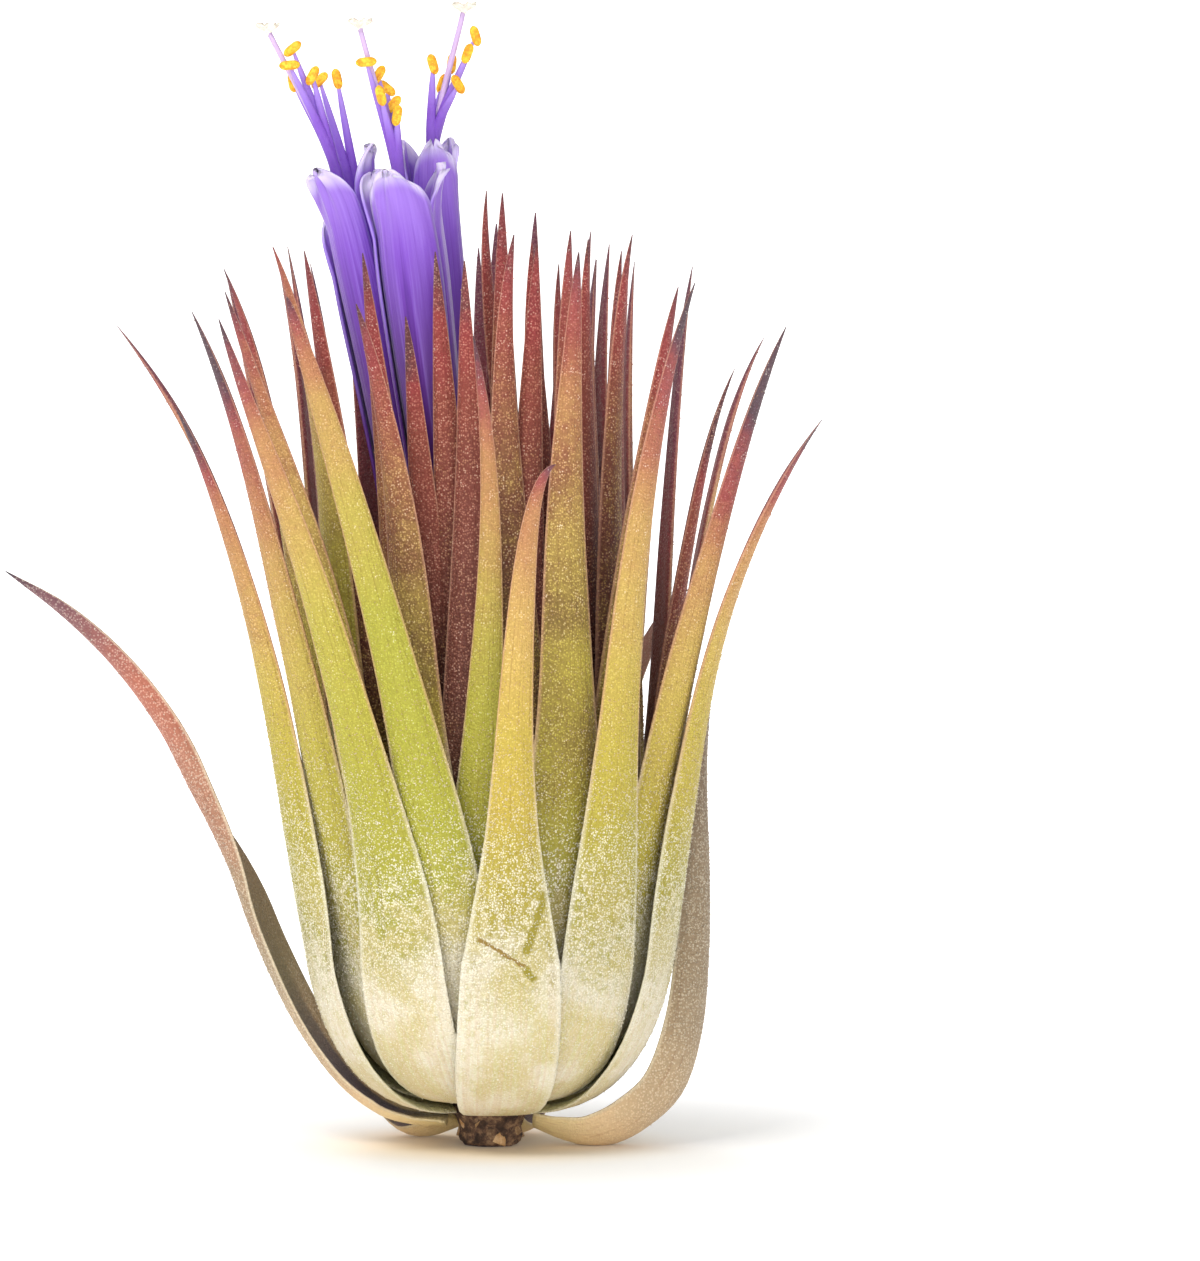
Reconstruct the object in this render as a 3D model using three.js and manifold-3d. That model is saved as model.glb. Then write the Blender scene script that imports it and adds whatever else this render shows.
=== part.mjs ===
// A small flowering air plant, a dense stemless rosette of channelled, tapering leaves.
// Millimetres, +Z up. The origin is on the surface that the plant stands on, under the middle of its
// dry stem stub. -Y is the side seen from the front. Azimuths are in degrees round +Z: 0 is the
// front (-Y), 90 is the right (+X), 180 the back and -90 the left.
import * as THREE from "three";
import Module from "manifold-3d";
import { mergeVertices } from "three/addons/utils/BufferGeometryUtils.js";

const wasm = await Module();
wasm.setup();

// Driving dimensions
const GAP = 0.3; // between pieces that seat on each other
const STUB_RADIUS = 2.6; // the dry stub that the plant stands on
const STEM_TOP = 10.4; // the living stem inside the leaf bases ends here
const STEM_RADIUS = 2.9; // where the lowest leaves grow
const STEM_TAPER = 0.1; // radius lost for each millimetre of height
const LEAF_FOOT = 2.6; // height of the lowest rosette leaf's underside at the stem
const SHEATH_TURN = 84; // degrees above level that a sheath reaches as it turns up
const SHEATH_REACH = 8.8; // along the sheath, where most of that turn is done
const SHEATH_SHARPNESS = 1.5;
const SHEATH_THICK = 0.62;
const SHEATH_SPAN = 0.72; // radians round the stem that a sheath takes at most
const LAYER = 0.86; // one sheath and the gap to the next inside it

const UP = new THREE.Vector3(0, 0, 1);
const radians = THREE.MathUtils.degToRad;
const mix = THREE.MathUtils.lerp;

// Directions for an azimuth: away from the axis, and round it.
const outward = (az) => new THREE.Vector3(Math.sin(radians(az)), -Math.cos(radians(az)), 0);
const around = (az) => new THREE.Vector3(Math.cos(radians(az)), Math.sin(radians(az)), 0);

// A value read off a short list of [position, value] pairs, straight between them.
function along(pairs, t) {
  const next = pairs.findIndex(([at]) => at >= t);
  if (next <= 0) return pairs[next === 0 ? 0 : pairs.length - 1][1];
  const [a, va] = pairs[next - 1];
  const [b, vb] = pairs[next];
  return mix(va, vb, (t - a) / (b - a));
}

// Triangles that close a ring of 8 or 6 points as a strip between its outer and its inner arc, so
// that a cap follows the ring's curve.
const CAPS = {
  8: [[0, 1, 7], [1, 6, 7], [1, 2, 6], [2, 3, 6], [3, 5, 6], [3, 4, 5]],
  6: [[0, 1, 5], [1, 2, 5], [2, 3, 5], [3, 4, 5]],
};

// A closed skin over rings of equal length. It starts with a cap and ends in a point or a cap.
function loft(rings, tip) {
  const n = rings[0].length;
  const points = rings.flat();
  const cap = CAPS[n] ?? Array.from({ length: n - 2 }, (_, j) => [0, j + 1, j + 2]);
  const faces = cap.flatMap(([a, b, c]) => [a, c, b]);
  for (let i = 0; i + 1 < rings.length; i++)
    for (let j = 0; j < n; j++) {
      const [a, b] = [i * n + j, i * n + ((j + 1) % n)];
      faces.push(a, b, b + n, a, b + n, a + n);
    }
  const last = (rings.length - 1) * n;
  if (tip) {
    points.push(tip);
    for (let j = 0; j < n; j++) faces.push(last + j, last + ((j + 1) % n), points.length - 1);
  } else for (const [a, b, c] of cap) faces.push(last + a, last + b, last + c);
  const geometry = new THREE.BufferGeometry().setFromPoints(points);
  geometry.setIndex(faces);
  return geometry;
}

// Solids for joining: a closed three.js geometry in, a manifold out, and back again.
function solid(geometry) {
  const bare = geometry.clone();
  bare.deleteAttribute("normal");
  bare.deleteAttribute("uv");
  const merged = mergeVertices(bare, 1e-4);
  return new wasm.Manifold(
    new wasm.Mesh({
      numProp: 3,
      vertProperties: new Float32Array(merged.attributes.position.array),
      triVerts: new Uint32Array(merged.index.array),
    }),
  );
}

function skin(manifold) {
  const mesh = manifold.getMesh();
  const geometry = new THREE.BufferGeometry();
  geometry.setAttribute("position", new THREE.BufferAttribute(mesh.vertProperties, 3));
  geometry.setIndex(new THREE.BufferAttribute(mesh.triVerts, 1));
  return geometry;
}

const plant = new THREE.Group();

function add(name, geometry, colour, roughness = 0.75) {
  const facets = geometry.index ? geometry.toNonIndexed() : geometry;
  facets.computeVertexNormals();
  const material = new THREE.MeshStandardMaterial({ color: colour, roughness, metalness: 0 });
  const mesh = new THREE.Mesh(facets, material);
  mesh.name = name;
  plant.add(mesh);
}

// A solid turned from [radius, height] pairs that start and end on the axis.
function turned(outline, sides) {
  const geometry = new THREE.LatheGeometry(outline.map(([r, z]) => new THREE.Vector2(r, z)), sides);
  return geometry.rotateX(Math.PI / 2);
}

// Stem: a rough dry stub below, where the offset was broken from its mother, and above it the short
// living stem that all the leaves grow from. Its underside is the flat spot at the origin.
const stemRadiusAt = (z) => STEM_RADIUS - (z - LEAF_FOOT) * STEM_TAPER;
add(
  "stem",
  turned(
    [
      [0, 0],
      [STUB_RADIUS * 0.94, 0],
      [STUB_RADIUS, 0.4],
      [STUB_RADIUS * 0.93, 1.1],
      [stemRadiusAt(LEAF_FOOT) - 0.5, 1.6],
      [stemRadiusAt(LEAF_FOOT), LEAF_FOOT],
      [stemRadiusAt(STEM_TOP), STEM_TOP],
      [0, STEM_TOP],
    ],
    20,
  ),
  0x6b4a33,
  0.95,
);

// Sheaths: the leaf bases are nested bowls. The outermost leaves the stem level and turns up along
// this curve. A deeper one is the same curve moved inwards along its normal, so they never meet.
const SHEATH_STATIONS = [0, 3, 6, 9, 13, 18];
const PATH_STEP = 0.05;
const sheathAngle = (s) =>
  radians(SHEATH_TURN) * (1 - Math.exp(-Math.pow(s / SHEATH_REACH, SHEATH_SHARPNESS)));

function sheathPoint(s, depth) {
  let r = stemRadiusAt(LEAF_FOOT) + GAP;
  let z = LEAF_FOOT;
  for (let at = PATH_STEP / 2; at < s; at += PATH_STEP) {
    r += Math.cos(sheathAngle(at)) * PATH_STEP;
    z += Math.sin(sheathAngle(at)) * PATH_STEP;
  }
  const angle = sheathAngle(s);
  const taken = s === 0 ? depth * STEM_TAPER : Math.sin(angle) * depth;
  return { r: r - taken, z: z + Math.cos(angle) * depth, angle };
}

// How a leaf changes along its length. Widths are shares of the sheath's full width. Cups are half
// the angle that the section wraps, in radians.
const SHEATH_WIDTHS = [
  [0, 0.6],
  [3, 0.75],
  [6, 0.9],
  [9, 0.98],
  [13, 1],
  [18, 0.96],
];
const BLADE_STATIONS = [0.1, 0.22, 0.36, 0.52, 0.68, 0.82, 0.93];
const BLADE_WIDTHS = [
  [0, 0.96],
  [0.1, 0.86],
  [0.22, 0.7],
  [0.36, 0.53],
  [0.52, 0.4],
  [0.68, 0.29],
  [0.82, 0.19],
  [0.93, 0.1],
];
const BLADE_THICK = [
  [0, 0.62],
  [0.3, 0.72],
  [0.7, 0.68],
  [0.93, 0.6],
];
const BLADE_CUPS = [
  [0, 0.3],
  [0.2, 0.55],
  [0.45, 0.75],
  [0.8, 0.8],
  [1, 0.8],
];

// One cross-section: a channelled strip, convex outside, with thin edges. It has five points outside
// and three inside, or one inside on the small leaves.
const OUTER_ARC = [-1, -0.5, 0, 0.5, 1];
function section({ at, side, out, drop, half, cup, thick, fine = true }) {
  const bend = half / cup;
  const place = (u, depth) =>
    at
      .clone()
      .addScaledVector(side, bend * Math.sin(u * cup))
      .addScaledVector(drop, bend * (1 - Math.cos(u * cup)))
      .addScaledVector(out, -depth);
  const inner = fine ? [0.5, 0, -0.5] : [0];
  return [
    ...OUTER_ARC.map((u) => place(u, 0)),
    ...inner.map((u) => place(u * 0.92, thick * (1 - 0.25 * u * u))),
  ];
}

// Sections along a curve. The width axis starts from the given one and rolls about the curve.
function bladeSections(path, stations, round, shape) {
  return stations.map((t) => {
    const tangent = path.getTangent(t);
    const { roll, ...rest } = shape(t);
    const side = round.clone().addScaledVector(tangent, -round.dot(tangent)).normalize();
    side.applyAxisAngle(tangent, radians(roll));
    const out = side.clone().cross(tangent);
    return section({ at: path.getPoint(t), side, out, drop: out.clone().negate(), ...rest });
  });
}

// A rosette leaf: its sheath lies on its own bowl, and its blade runs on from there to its tip. The
// blade is a cubic curve that leaves the sheath straight on. It passes through via half way, or, where
// there is none, arches out a little towards its tip.
const ARCH = 0.9;
// Leaves on the front half turn to the light: half way up, their azimuth is down to this share.
const SIDE = 95;
const TURNED = 0.6;
function rosetteLeaf(leaf) {
  const { az, depth, width, via, tip, slim = 1, span = SHEATH_SPAN, fine = true, from = 0 } = leaf;
  const turned = Math.abs(az) < SIDE ? (leaf.turned ?? TURNED) : 1;
  const round = around(az);
  const away = outward(az);
  const rings = SHEATH_STATIONS.filter((s) => s >= from).map((s) => {
    const { r, z, angle } = sheathPoint(s, depth);
    const half = Math.min(along(SHEATH_WIDTHS, s) * width, span * r) / 2;
    return section({
      at: away.clone().multiplyScalar(r).addScaledVector(UP, z),
      side: round,
      out: away.clone().multiplyScalar(Math.sin(angle)).addScaledVector(UP, -Math.cos(angle)),
      drop: away.clone().negate(),
      half,
      cup: half / r,
      thick: SHEATH_THICK,
      fine,
    });
  });
  const neck = sheathPoint(SHEATH_STATIONS.at(-1), depth);
  const start = away.clone().multiplyScalar(neck.r).addScaledVector(UP, neck.z);
  const rise = away.clone().multiplyScalar(Math.cos(neck.angle));
  rise.addScaledVector(UP, Math.sin(neck.angle));
  const end = new THREE.Vector3(...tip);
  const departing = start.clone().addScaledVector(rise, start.distanceTo(end) * 0.3);
  const arriving = new THREE.Vector3();
  if (via) {
    arriving.set(...via).multiplyScalar(8).sub(start).sub(end);
    arriving.addScaledVector(departing, -3).divideScalar(3);
  } else arriving.lerpVectors(start, end, 0.68).addScaledVector(away, -ARCH);
  const path = new THREE.CubicBezierCurve3(start, departing, arriving, end);
  const neckCup = (SHEATH_WIDTHS.at(-1)[1] * width) / 2 / neck.r;
  const blade = bladeSections(path, BLADE_STATIONS, round, (t) => ({
    half: (along(BLADE_WIDTHS, t) * mix(1, slim, Math.min(1, t / 0.25)) * width) / 2,
    cup: Math.max(neckCup, along(BLADE_CUPS, t)),
    thick: along(BLADE_THICK, t),
    roll: az * (turned - 1) * Math.min(1, 2 * t),
    fine,
  }));
  return loft([...rings, ...blade], end);
}

const STRAW = 0xb8a07a;
const MAROON = 0x7c4038;
const VIOLET = 0x6a52d8;
const GOLD = 0xe0a030;

// Basal leaves: the oldest, below the rosette. They sweep down and out to the surface and then up
// again. Each runs through its own points, at the middle of its outer face.
const BASAL_WIDTHS = [0.62, 0.8, 0.95, 1, 1, 0.94, 0.84, 0.72, 0.58, 0.44, 0.28];
const BASAL_CUPS = [0.5, 0.6, 0.7, 0.8, 0.9, 1, 1.1, 1.1, 1.1, 1.1, 1.1];
const BASAL_LEAVES = {
  leaf_basal_left: {
    az: -116,
    rolls: [[0, -6], [0.2, 4], [0.35, -2], [0.5, 0], [0.68, 50], [1, 70]],
    width: 6.2,
    points: [
      [-3.25, 0.3, 1.5], [-5.5, 0.5, 1.45], [-8.3, 1, 2.15], [-11.4, 1.6, 4.5],
      [-14.6, 2, 8.9], [-17.4, 2.2, 14.6], [-19.8, 2.3, 20.8], [-22.4, 2.3, 26.2],
      [-24.8, 2.2, 31.2], [-28.2, 2, 36], [-32.2, 1.8, 40], [-36.5, 1.5, 43.2],
    ],
  },
  leaf_basal_right: {
    az: 74,
    rolls: [[0, -16], [0.2, -30], [0.5, -22], [1, -15]],
    width: 5.6,
    points: [
      [3.2, -0.8, 1.5], [5.4, -1.3, 0.75], [8, -1.8, 0.45], [11, -1.9, 1.7],
      [13.9, -1.3, 4.4], [15.5, -0.5, 9.2], [16.1, 0.6, 15], [16.2, 1.5, 21],
      [16.1, 2.2, 27], [16.4, 2.8, 32.6], [17.3, 3.2, 37.6], [18.5, 3.4, 42.4],
    ],
  },
  leaf_basal_back_right: {
    az: 162,
    width: 5.4,
    points: [
      [0.7, 3.2, 1.5], [1, 5.3, 0.45], [1.5, 7.5, 0], [2.3, 10.4, 1.4],
      [3.4, 12.9, 4.8], [4.6, 14.4, 9.6], [5.8, 15.7, 15], [7, 16.8, 20.6],
      [8.5, 18, 26], [10.1, 19.5, 31.4], [12.2, 21.3, 36.4], [14.6, 23, 41],
    ],
  },
  leaf_basal_back_left: {
    az: -142,
    width: 5.6,
    points: [
      [-2, 2.7, 1.5], [-3.6, 4.3, 0.5], [-5.4, 5.9, 0], [-7.1, 8.2, 1.4],
      [-8.2, 10.4, 4.8], [-9.3, 11.9, 9.6], [-10.2, 13.1, 15], [-11.1, 14.2, 20.6],
      [-12.2, 15.7, 26], [-13.6, 17.5, 31.4], [-15.2, 19.6, 36.4], [-17, 22, 41],
    ],
  },
};
const BASAL_THICK = 0.7;

for (const [name, { az, rolls = [[0, 0]], width, points }] of Object.entries(BASAL_LEAVES)) {
  const path = new THREE.CatmullRomCurve3(points.map((p) => new THREE.Vector3(...p)));
  const last = points.length - 1;
  const knots = BASAL_WIDTHS.map((_, i) => i / last);
  const rings = bladeSections(path, knots, around(az), (t) => {
    const i = Math.round(t * last);
    const half = (BASAL_WIDTHS[i] * width) / 2;
    return { half, cup: BASAL_CUPS[i], thick: BASAL_THICK, roll: along(rolls, t) };
  });
  add(name, loft(rings, new THREE.Vector3(...points[last])), STRAW);
}

// Rosette leaves in rows, from the outermost row in, each row one layer deeper. The leaves that show
// from the front have the places and tips that they have in the photograph, and the far side has
// like ones.
const ROWS = [
  [
    { az: 7, width: 7.9, span: 0.95, slim: 0.8, via: [2.15, -15.8, 37], tip: [5, -17.4, 52.3] },
    { az: 73, width: 7.6, slim: 1.15, turned: 0.9, via: [16.7, -5.2, 34.7], tip: [24.8, -8, 55.1] },
    { az: 125, width: 7.6, tip: [19.4, 16, 52.5] },
    { az: 178, width: 7.6, tip: [-1.5, 23, 57] },
    { az: -128, width: 7.6, tip: [-21, 16, 57] },
    { az: -72, width: 7.4, via: [-16.8, -5.6, 35.3], tip: [-23.3, -8, 56] },
  ],
  [
    { az: -31, width: 7.7, via: [-12, -13.4, 39], tip: [-19.8, -17, 63] },
    { az: 40, width: 7.5, via: [10.6, -12, 40], tip: [15.3, -14.4, 65.6] },
    { az: 101, width: 7, via: [15.4, 5, 38], tip: [20.7, 6.4, 60.6] },
    { az: 152, width: 7.2, tip: [10, 20, 62] },
    { az: -155, width: 7.2, tip: [-10, 20, 63] },
    { az: -101, width: 7.2, via: [-17.4, 2.9, 38], tip: [-28.2, 4.4, 61.6] },
  ],
  [
    { az: -14, width: 6.9, via: [-8.8, -13.9, 44], tip: [-14.8, -16, 64.6] },
    { az: 62, width: 6.9, via: [15.2, -7, 38.5], tip: [22.1, -9.4, 62.1] },
    { az: 113, width: 6.6, tip: [15.3, 8.6, 65.9] },
    { az: 157, width: 6.6, tip: [8, 17.4, 66] },
    { az: -157, width: 6.6, tip: [-7, 17.6, 65] },
    { az: -111, width: 6.6, tip: [-20, 9, 65] },
    { az: -61, width: 6.9, via: [-15, -8.2, 39], tip: [-22, -11, 63.3] },
  ],
  [
    { az: 28, width: 6.4, slim: 1.5, via: [6.05, -11.4, 41.4], tip: [6.7, -13.4, 67.8] },
    { az: 84, width: 6.2, slim: 0.85, via: [13.85, -1, 36.8], tip: [18.4, -0.8, 58.6] },
    { az: 134, width: 6.2, tip: [10.4, 12.6, 64.4] },
    { az: 181, width: 6.2, tip: [-1, 16, 67] },
    { az: -133, width: 6.2, tip: [-14, 13, 66] },
    { az: -87, width: 6.2, via: [-14.6, 0.2, 40.5], tip: [-20, 1, 66] },
    { az: -40, width: 6.2, via: [-12.2, -9.6, 40], tip: [-19.5, -12, 64.8] },
  ],
  [
    { az: -5, width: 5.8, slim: 1.1, via: [-0.1, -11.9, 38], tip: [-1.1, -13.6, 61.6] },
    { az: 48, width: 5.8, via: [10.6, -7.6, 40], tip: [14.1, -8, 65] },
    { az: 104, width: 5.6, tip: [10.9, 5, 66.4] },
    { az: 156, width: 5.6, tip: [6, 13, 68] },
    { az: -156, width: 5.6, tip: [-7, 13.6, 67] },
    { az: -109, width: 5.6, tip: [-16, 6, 66] },
    { az: -62, width: 5.6, via: [-11.6, -6.2, 41.5], tip: [-16.1, -7.4, 68] },
  ],
  [
    { az: -28, width: 5.2, via: [-6, -9.8, 39.5], tip: [-9.8, -11.8, 63.9] },
    { az: 18, width: 5.2, via: [1.9, -9.8, 42], tip: [1.9, -11, 69] },
    { az: 64, width: 5.2, turned: 0.85, via: [9.7, -4.8, 42], tip: [10.7, -5.8, 68.8] },
    { az: 124, width: 5.2, tip: [9, 7.6, 67.6] },
    { az: 176, width: 5.2, tip: [0.4, 12, 69] },
    { az: -134, width: 5.2, tip: [-11, 9.6, 68] },
    { az: -86, width: 5.2, turned: 1, tip: [-15.2, 0.4, 67.7] },
  ],
];

// Blades above the sheath are broader for their size in the inner rows, and redder.
const ROW_SLIM = [0.95, 0.95, 1.04, 1.2, 1.5, 1.75];
const ROW_COLOURS = [0xc4b45c, 0xb7ad55, 0xa89a4e, 0x9c7a4c, 0x93634a, 0x8c5246];

ROWS.forEach((row, i) =>
  row.forEach((leaf, j) => {
    const geometry = rosetteLeaf({ slim: ROW_SLIM[i], ...leaf, depth: i * LAYER });
    add(`leaf_row${i + 1}_${j + 1}`, geometry, ROW_COLOURS[i]);
  }),
);

// Heart: the tight core of the youngest leaf bases on top of the stem, with the innermost leaves
// grown into it. It is open in the middle, where the flower spike comes up.
const HEART_DEPTH = ROWS.length * LAYER;
const HEART_TOP = 19;
const HEART_LEAVES = [
  { az: -8, row: 0, tip: [-1.8, -9.4, 67] },
  { az: 38, row: 0, tip: [6.1, -8.2, 69.2] },
  { az: 84, row: 0, tip: [9.9, -0.8, 67.4] },
  { az: 128, row: 0, tip: [7.6, 7, 68.6] },
  { az: 172, row: 0, tip: [1, 10.4, 66.4] },
  { az: -148, row: 0, tip: [-6.4, 10.4, 66.8] },
  { az: -106, row: 0, tip: [-13.6, 5, 66.2] },
  { az: -58, row: 0, tip: [-13.8, -5.4, 67.6] },
  { az: -34, row: 1, tip: [-9.4, -7.6, 67.5] },
  { az: 14, row: 1, tip: [3.6, -8.6, 68.2] },
  { az: 62, row: 1, tip: [7.4, -4, 68.4] },
  { az: 108, row: 1, tip: [8, 3.4, 66.7] },
  { az: 154, row: 1, tip: [3.4, 7.6, 70] },
  { az: -170, row: 1, tip: [-2.4, 9, 68] },
  { az: -12, row: 2, tip: [-4, -7.4, 67.6] },
  { az: 38, row: 2, tip: [3.2, -5, 68.2] },
  { az: 88, row: 2, tip: [5.2, 0, 66.4] },
  { az: -22, row: 3, tip: [-6.2, -8, 62.8] },
  { az: 16, row: 3, via: [1.6, -5, 43], tip: [1, -5.4, 71.9] },
  { az: 64, row: 3, via: [3.6, -1.8, 43], tip: [-0.2, -3, 72] },
];
const HEART_LEAF = { width: 4.6, slim: 1.9, fine: false, from: 13 };
const ROOTED = 0.1; // how far a heart leaf's outer face lies inside the core's
{
  const shell = [9, 13, 18].map((s) => sheathPoint(s, HEART_DEPTH));
  const foot = STEM_TOP + GAP;
  let heart = solid(
    turned(
      [
        [0, foot],
        [1.9, foot],
        ...shell.map(({ r, z }) => [r, z]),
        [shell[2].r - 0.5, HEART_TOP],
        [shell[2].r - 3, HEART_TOP + 0.8],
        [0, HEART_TOP + 0.8],
      ],
      24,
    ),
  );
  for (const leaf of HEART_LEAVES) {
    const depth = HEART_DEPTH + ROOTED + leaf.row * LAYER;
    heart = heart.add(solid(rosetteLeaf({ ...HEART_LEAF, ...leaf, depth })));
  }
  add("heart_leaves", skin(heart), MAROON);
}

// Flower spike: a short stalk on the heart, hidden among the leaves. It leans to the left and
// carries three flowers.
const SPIKE_FOOT = HEART_TOP + 0.8 + GAP;
const SPIKE_TOP = 33;
const SPIKE_RINGS = [
  // [x, y, z, radius]
  [0, 0, SPIKE_FOOT, 1.5],
  [-0.3, 0.1, 24, 1.6],
  [-0.9, 0.3, 28, 2.2],
  [-1.4, 0.5, 31.5, 3.3],
  [-1.4, 0.5, SPIKE_TOP, 3.1],
];
const X = new THREE.Vector3(1, 0, 0);
const Y = new THREE.Vector3(0, 1, 0);

// A round ring of points in the plane of x and y.
function ring({ at, x, y, radius, sides }) {
  return Array.from({ length: sides }, (_, i) => {
    const turn = (2 * Math.PI * i) / sides;
    const point = at.clone().addScaledVector(x, radius * Math.cos(turn));
    return point.addScaledVector(y, radius * Math.sin(turn));
  });
}

const spikeRings = SPIKE_RINGS.map(([x, y, z, radius]) =>
  ring({ at: new THREE.Vector3(x, y, z), x: X, y: Y, radius, sides: 10 }),
);
add("flower_spike", loft(spikeRings), STRAW);

// Flowers: three petals rolled round each other into a tube, and inside them a column that six
// filaments and the style grow from.
const PETAL_THICK = 0.6;
const PETAL_ROLL = 0.45; // how far a petal's one edge is outside, and its other inside, the tube
const PETAL_SPAN = 68; // degrees to each side of a petal's middle
const PETAL_TIP = 1.4; // how far its blunt tip stands past its last section
const PETAL_INNER_ARC = [0.75, 0, -0.75];
const TUBE_FOOT_RADIUS = 1.8;
const PETAL_STATIONS = [
  // [share of the length, share of the tube's full radius, share of the petal's full width]
  [0, 0.66, 1],
  [0.2, 0.73, 1],
  [0.42, 0.82, 1],
  [0.64, 0.94, 1],
  [0.8, 1, 1],
  [0.9, 0.95, 0.92],
  [0.97, 0.86, 0.64],
];
const FLOWERS = {
  front: {
    foot: [-1.3, -2.2, 33.4],
    bow: [-4.6, -2.4, 56],
    rim: [-6.5, -2.1, 73.3],
    radius: 2.65,
    turn: 10,
    lengths: [1, 1, 1],
  },
  left: {
    foot: [-4.2, 1.5, 33.4],
    bow: [-7.1, 2.2, 56],
    rim: [-11.6, 1.5, 74],
    radius: 2,
    turn: 95,
    lengths: [0.84, 0.99, 1.01],
  },
  right: {
    foot: [0.7, 2.5, 33.4],
    bow: [-3.6, 3.6, 56],
    rim: [-4.6, 3.9, 75.2],
    radius: 1.8,
    turn: 40,
    lengths: [1, 1, 1],
  },
};

const flowerAxis = ({ foot, bow, rim }) =>
  new THREE.QuadraticBezierCurve3(...[foot, bow, rim].map((p) => new THREE.Vector3(...p)));

for (const [name, flower] of Object.entries(FLOWERS)) {
  const axis = flowerAxis(flower);
  for (const i of [0, 1, 2]) {
    const middle = radians(flower.turn + 120 * i);
    const rings = PETAL_STATIONS.map(([share, girth, span]) => {
      const t = share * flower.lengths[i];
      const at = axis.getPoint(t);
      const up = axis.getTangent(t);
      const x = X.clone().addScaledVector(up, -X.dot(up)).normalize();
      const y = up.clone().cross(x);
      const radius = Math.max(TUBE_FOOT_RADIUS, girth * flower.radius);
      const place = (u, depth) => {
        const turn = middle + u * span * radians(PETAL_SPAN);
        const r = radius + u * span * PETAL_ROLL - depth;
        const point = at.clone().addScaledVector(x, r * Math.cos(turn));
        return point.addScaledVector(y, r * Math.sin(turn));
      };
      const inside = PETAL_INNER_ARC.map((u) => place(u, PETAL_THICK));
      return [...OUTER_ARC.map((u) => place(u, 0)), ...inside];
    });
    const tip = rings.at(-1)[2].clone().lerp(rings.at(-1)[6], 0.5);
    tip.addScaledVector(axis.getTangent(1), PETAL_TIP);
    add(`petal_${name}_${i + 1}`, loft(rings, tip), VIOLET);
  }
}

// Stamens and style of each flower. Each anther has its place and its tilt in degrees, towards +X, as
// in the photograph. Two filaments of the left flower come out over its short back petal.
const FILAMENT_RADIUS = 0.3;
const ANTHER_RADIUS = 0.4;
const ANTHER_LONG = 1.5;
const STAMENS = {
  front: {
    anthers: [
      { at: [-9.2, -2.6, 81.6], tilt: 85 },
      { at: [-8.3, -1.6, 80.6], tilt: 30 },
      { at: [-8.1, -3, 79.1], tilt: -14 },
      { at: [-7.2, -1.4, 78.4], tilt: 40 },
      { at: [-7.7, -0.8, 79.6], tilt: -50 },
      { at: [-6.9, -2.6, 77.6], tilt: 10 },
    ],
    stigma: [-9.7, -2, 84.2],
  },
  left: {
    anthers: [
      { at: [-14.8, 1.2, 82.5], tilt: 50 },
      { at: [-15, 0.2, 81.3], tilt: 86 },
      { at: [-14.8, 2, 80], tilt: -10 },
      { at: [-13.3, 0.9, 80.5], tilt: 28 },
      { at: [-12.8, 2.6, 80.1], tilt: 45, over: [-10.4, 2.8, 71.6] },
      { at: [-11.5, 3, 80.2], tilt: -12, over: [-10, 2.9, 71.4] },
    ],
    stigma: [-16.6, 1.2, 83.8],
  },
  right: {
    anthers: [
      { at: [-4.3, 3.4, 81.3], tilt: -16 },
      { at: [-1.7, 3.4, 82.1], tilt: 20 },
      { at: [-1.1, 4.2, 83.4], tilt: -16 },
      { at: [-2.9, 4.6, 81.3], tilt: 5 },
      { at: [-3.6, 4.8, 79.8], tilt: 20 },
      { at: [-2.4, 2.9, 79.8], tilt: -30 },
    ],
    stigma: [-2, 3.9, 85.3],
  },
};

// A round rod along a curve, with a radius at each of its stations.
function rod(path, stations, sides) {
  const rings = stations.map(([t, radius]) => {
    const up = path.getTangent(t);
    const x = X.clone().addScaledVector(up, -X.dot(up)).normalize();
    return ring({ at: path.getPoint(t), x, y: up.clone().cross(x), radius, sides });
  });
  return solid(loft(rings));
}

const COLUMN = [
  [0.012, 0.5],
  [0.3, 0.55],
  [0.56, 0.6],
];
const FILAMENT = [
  [0, FILAMENT_RADIUS],
  [0.33, FILAMENT_RADIUS],
  [0.66, FILAMENT_RADIUS],
  [1, FILAMENT_RADIUS],
];
const ANTHER = [
  [0, 0.16],
  [0.25, ANTHER_RADIUS],
  [0.75, ANTHER_RADIUS],
  [1, 0.16],
];
const STIGMA = [
  [0, 0.3],
  [0.5, 0.8],
  [1, 0.75],
];
const FREE_OF_COLUMN = 0.5; // share of the tube's length where the filaments part from the column

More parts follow.
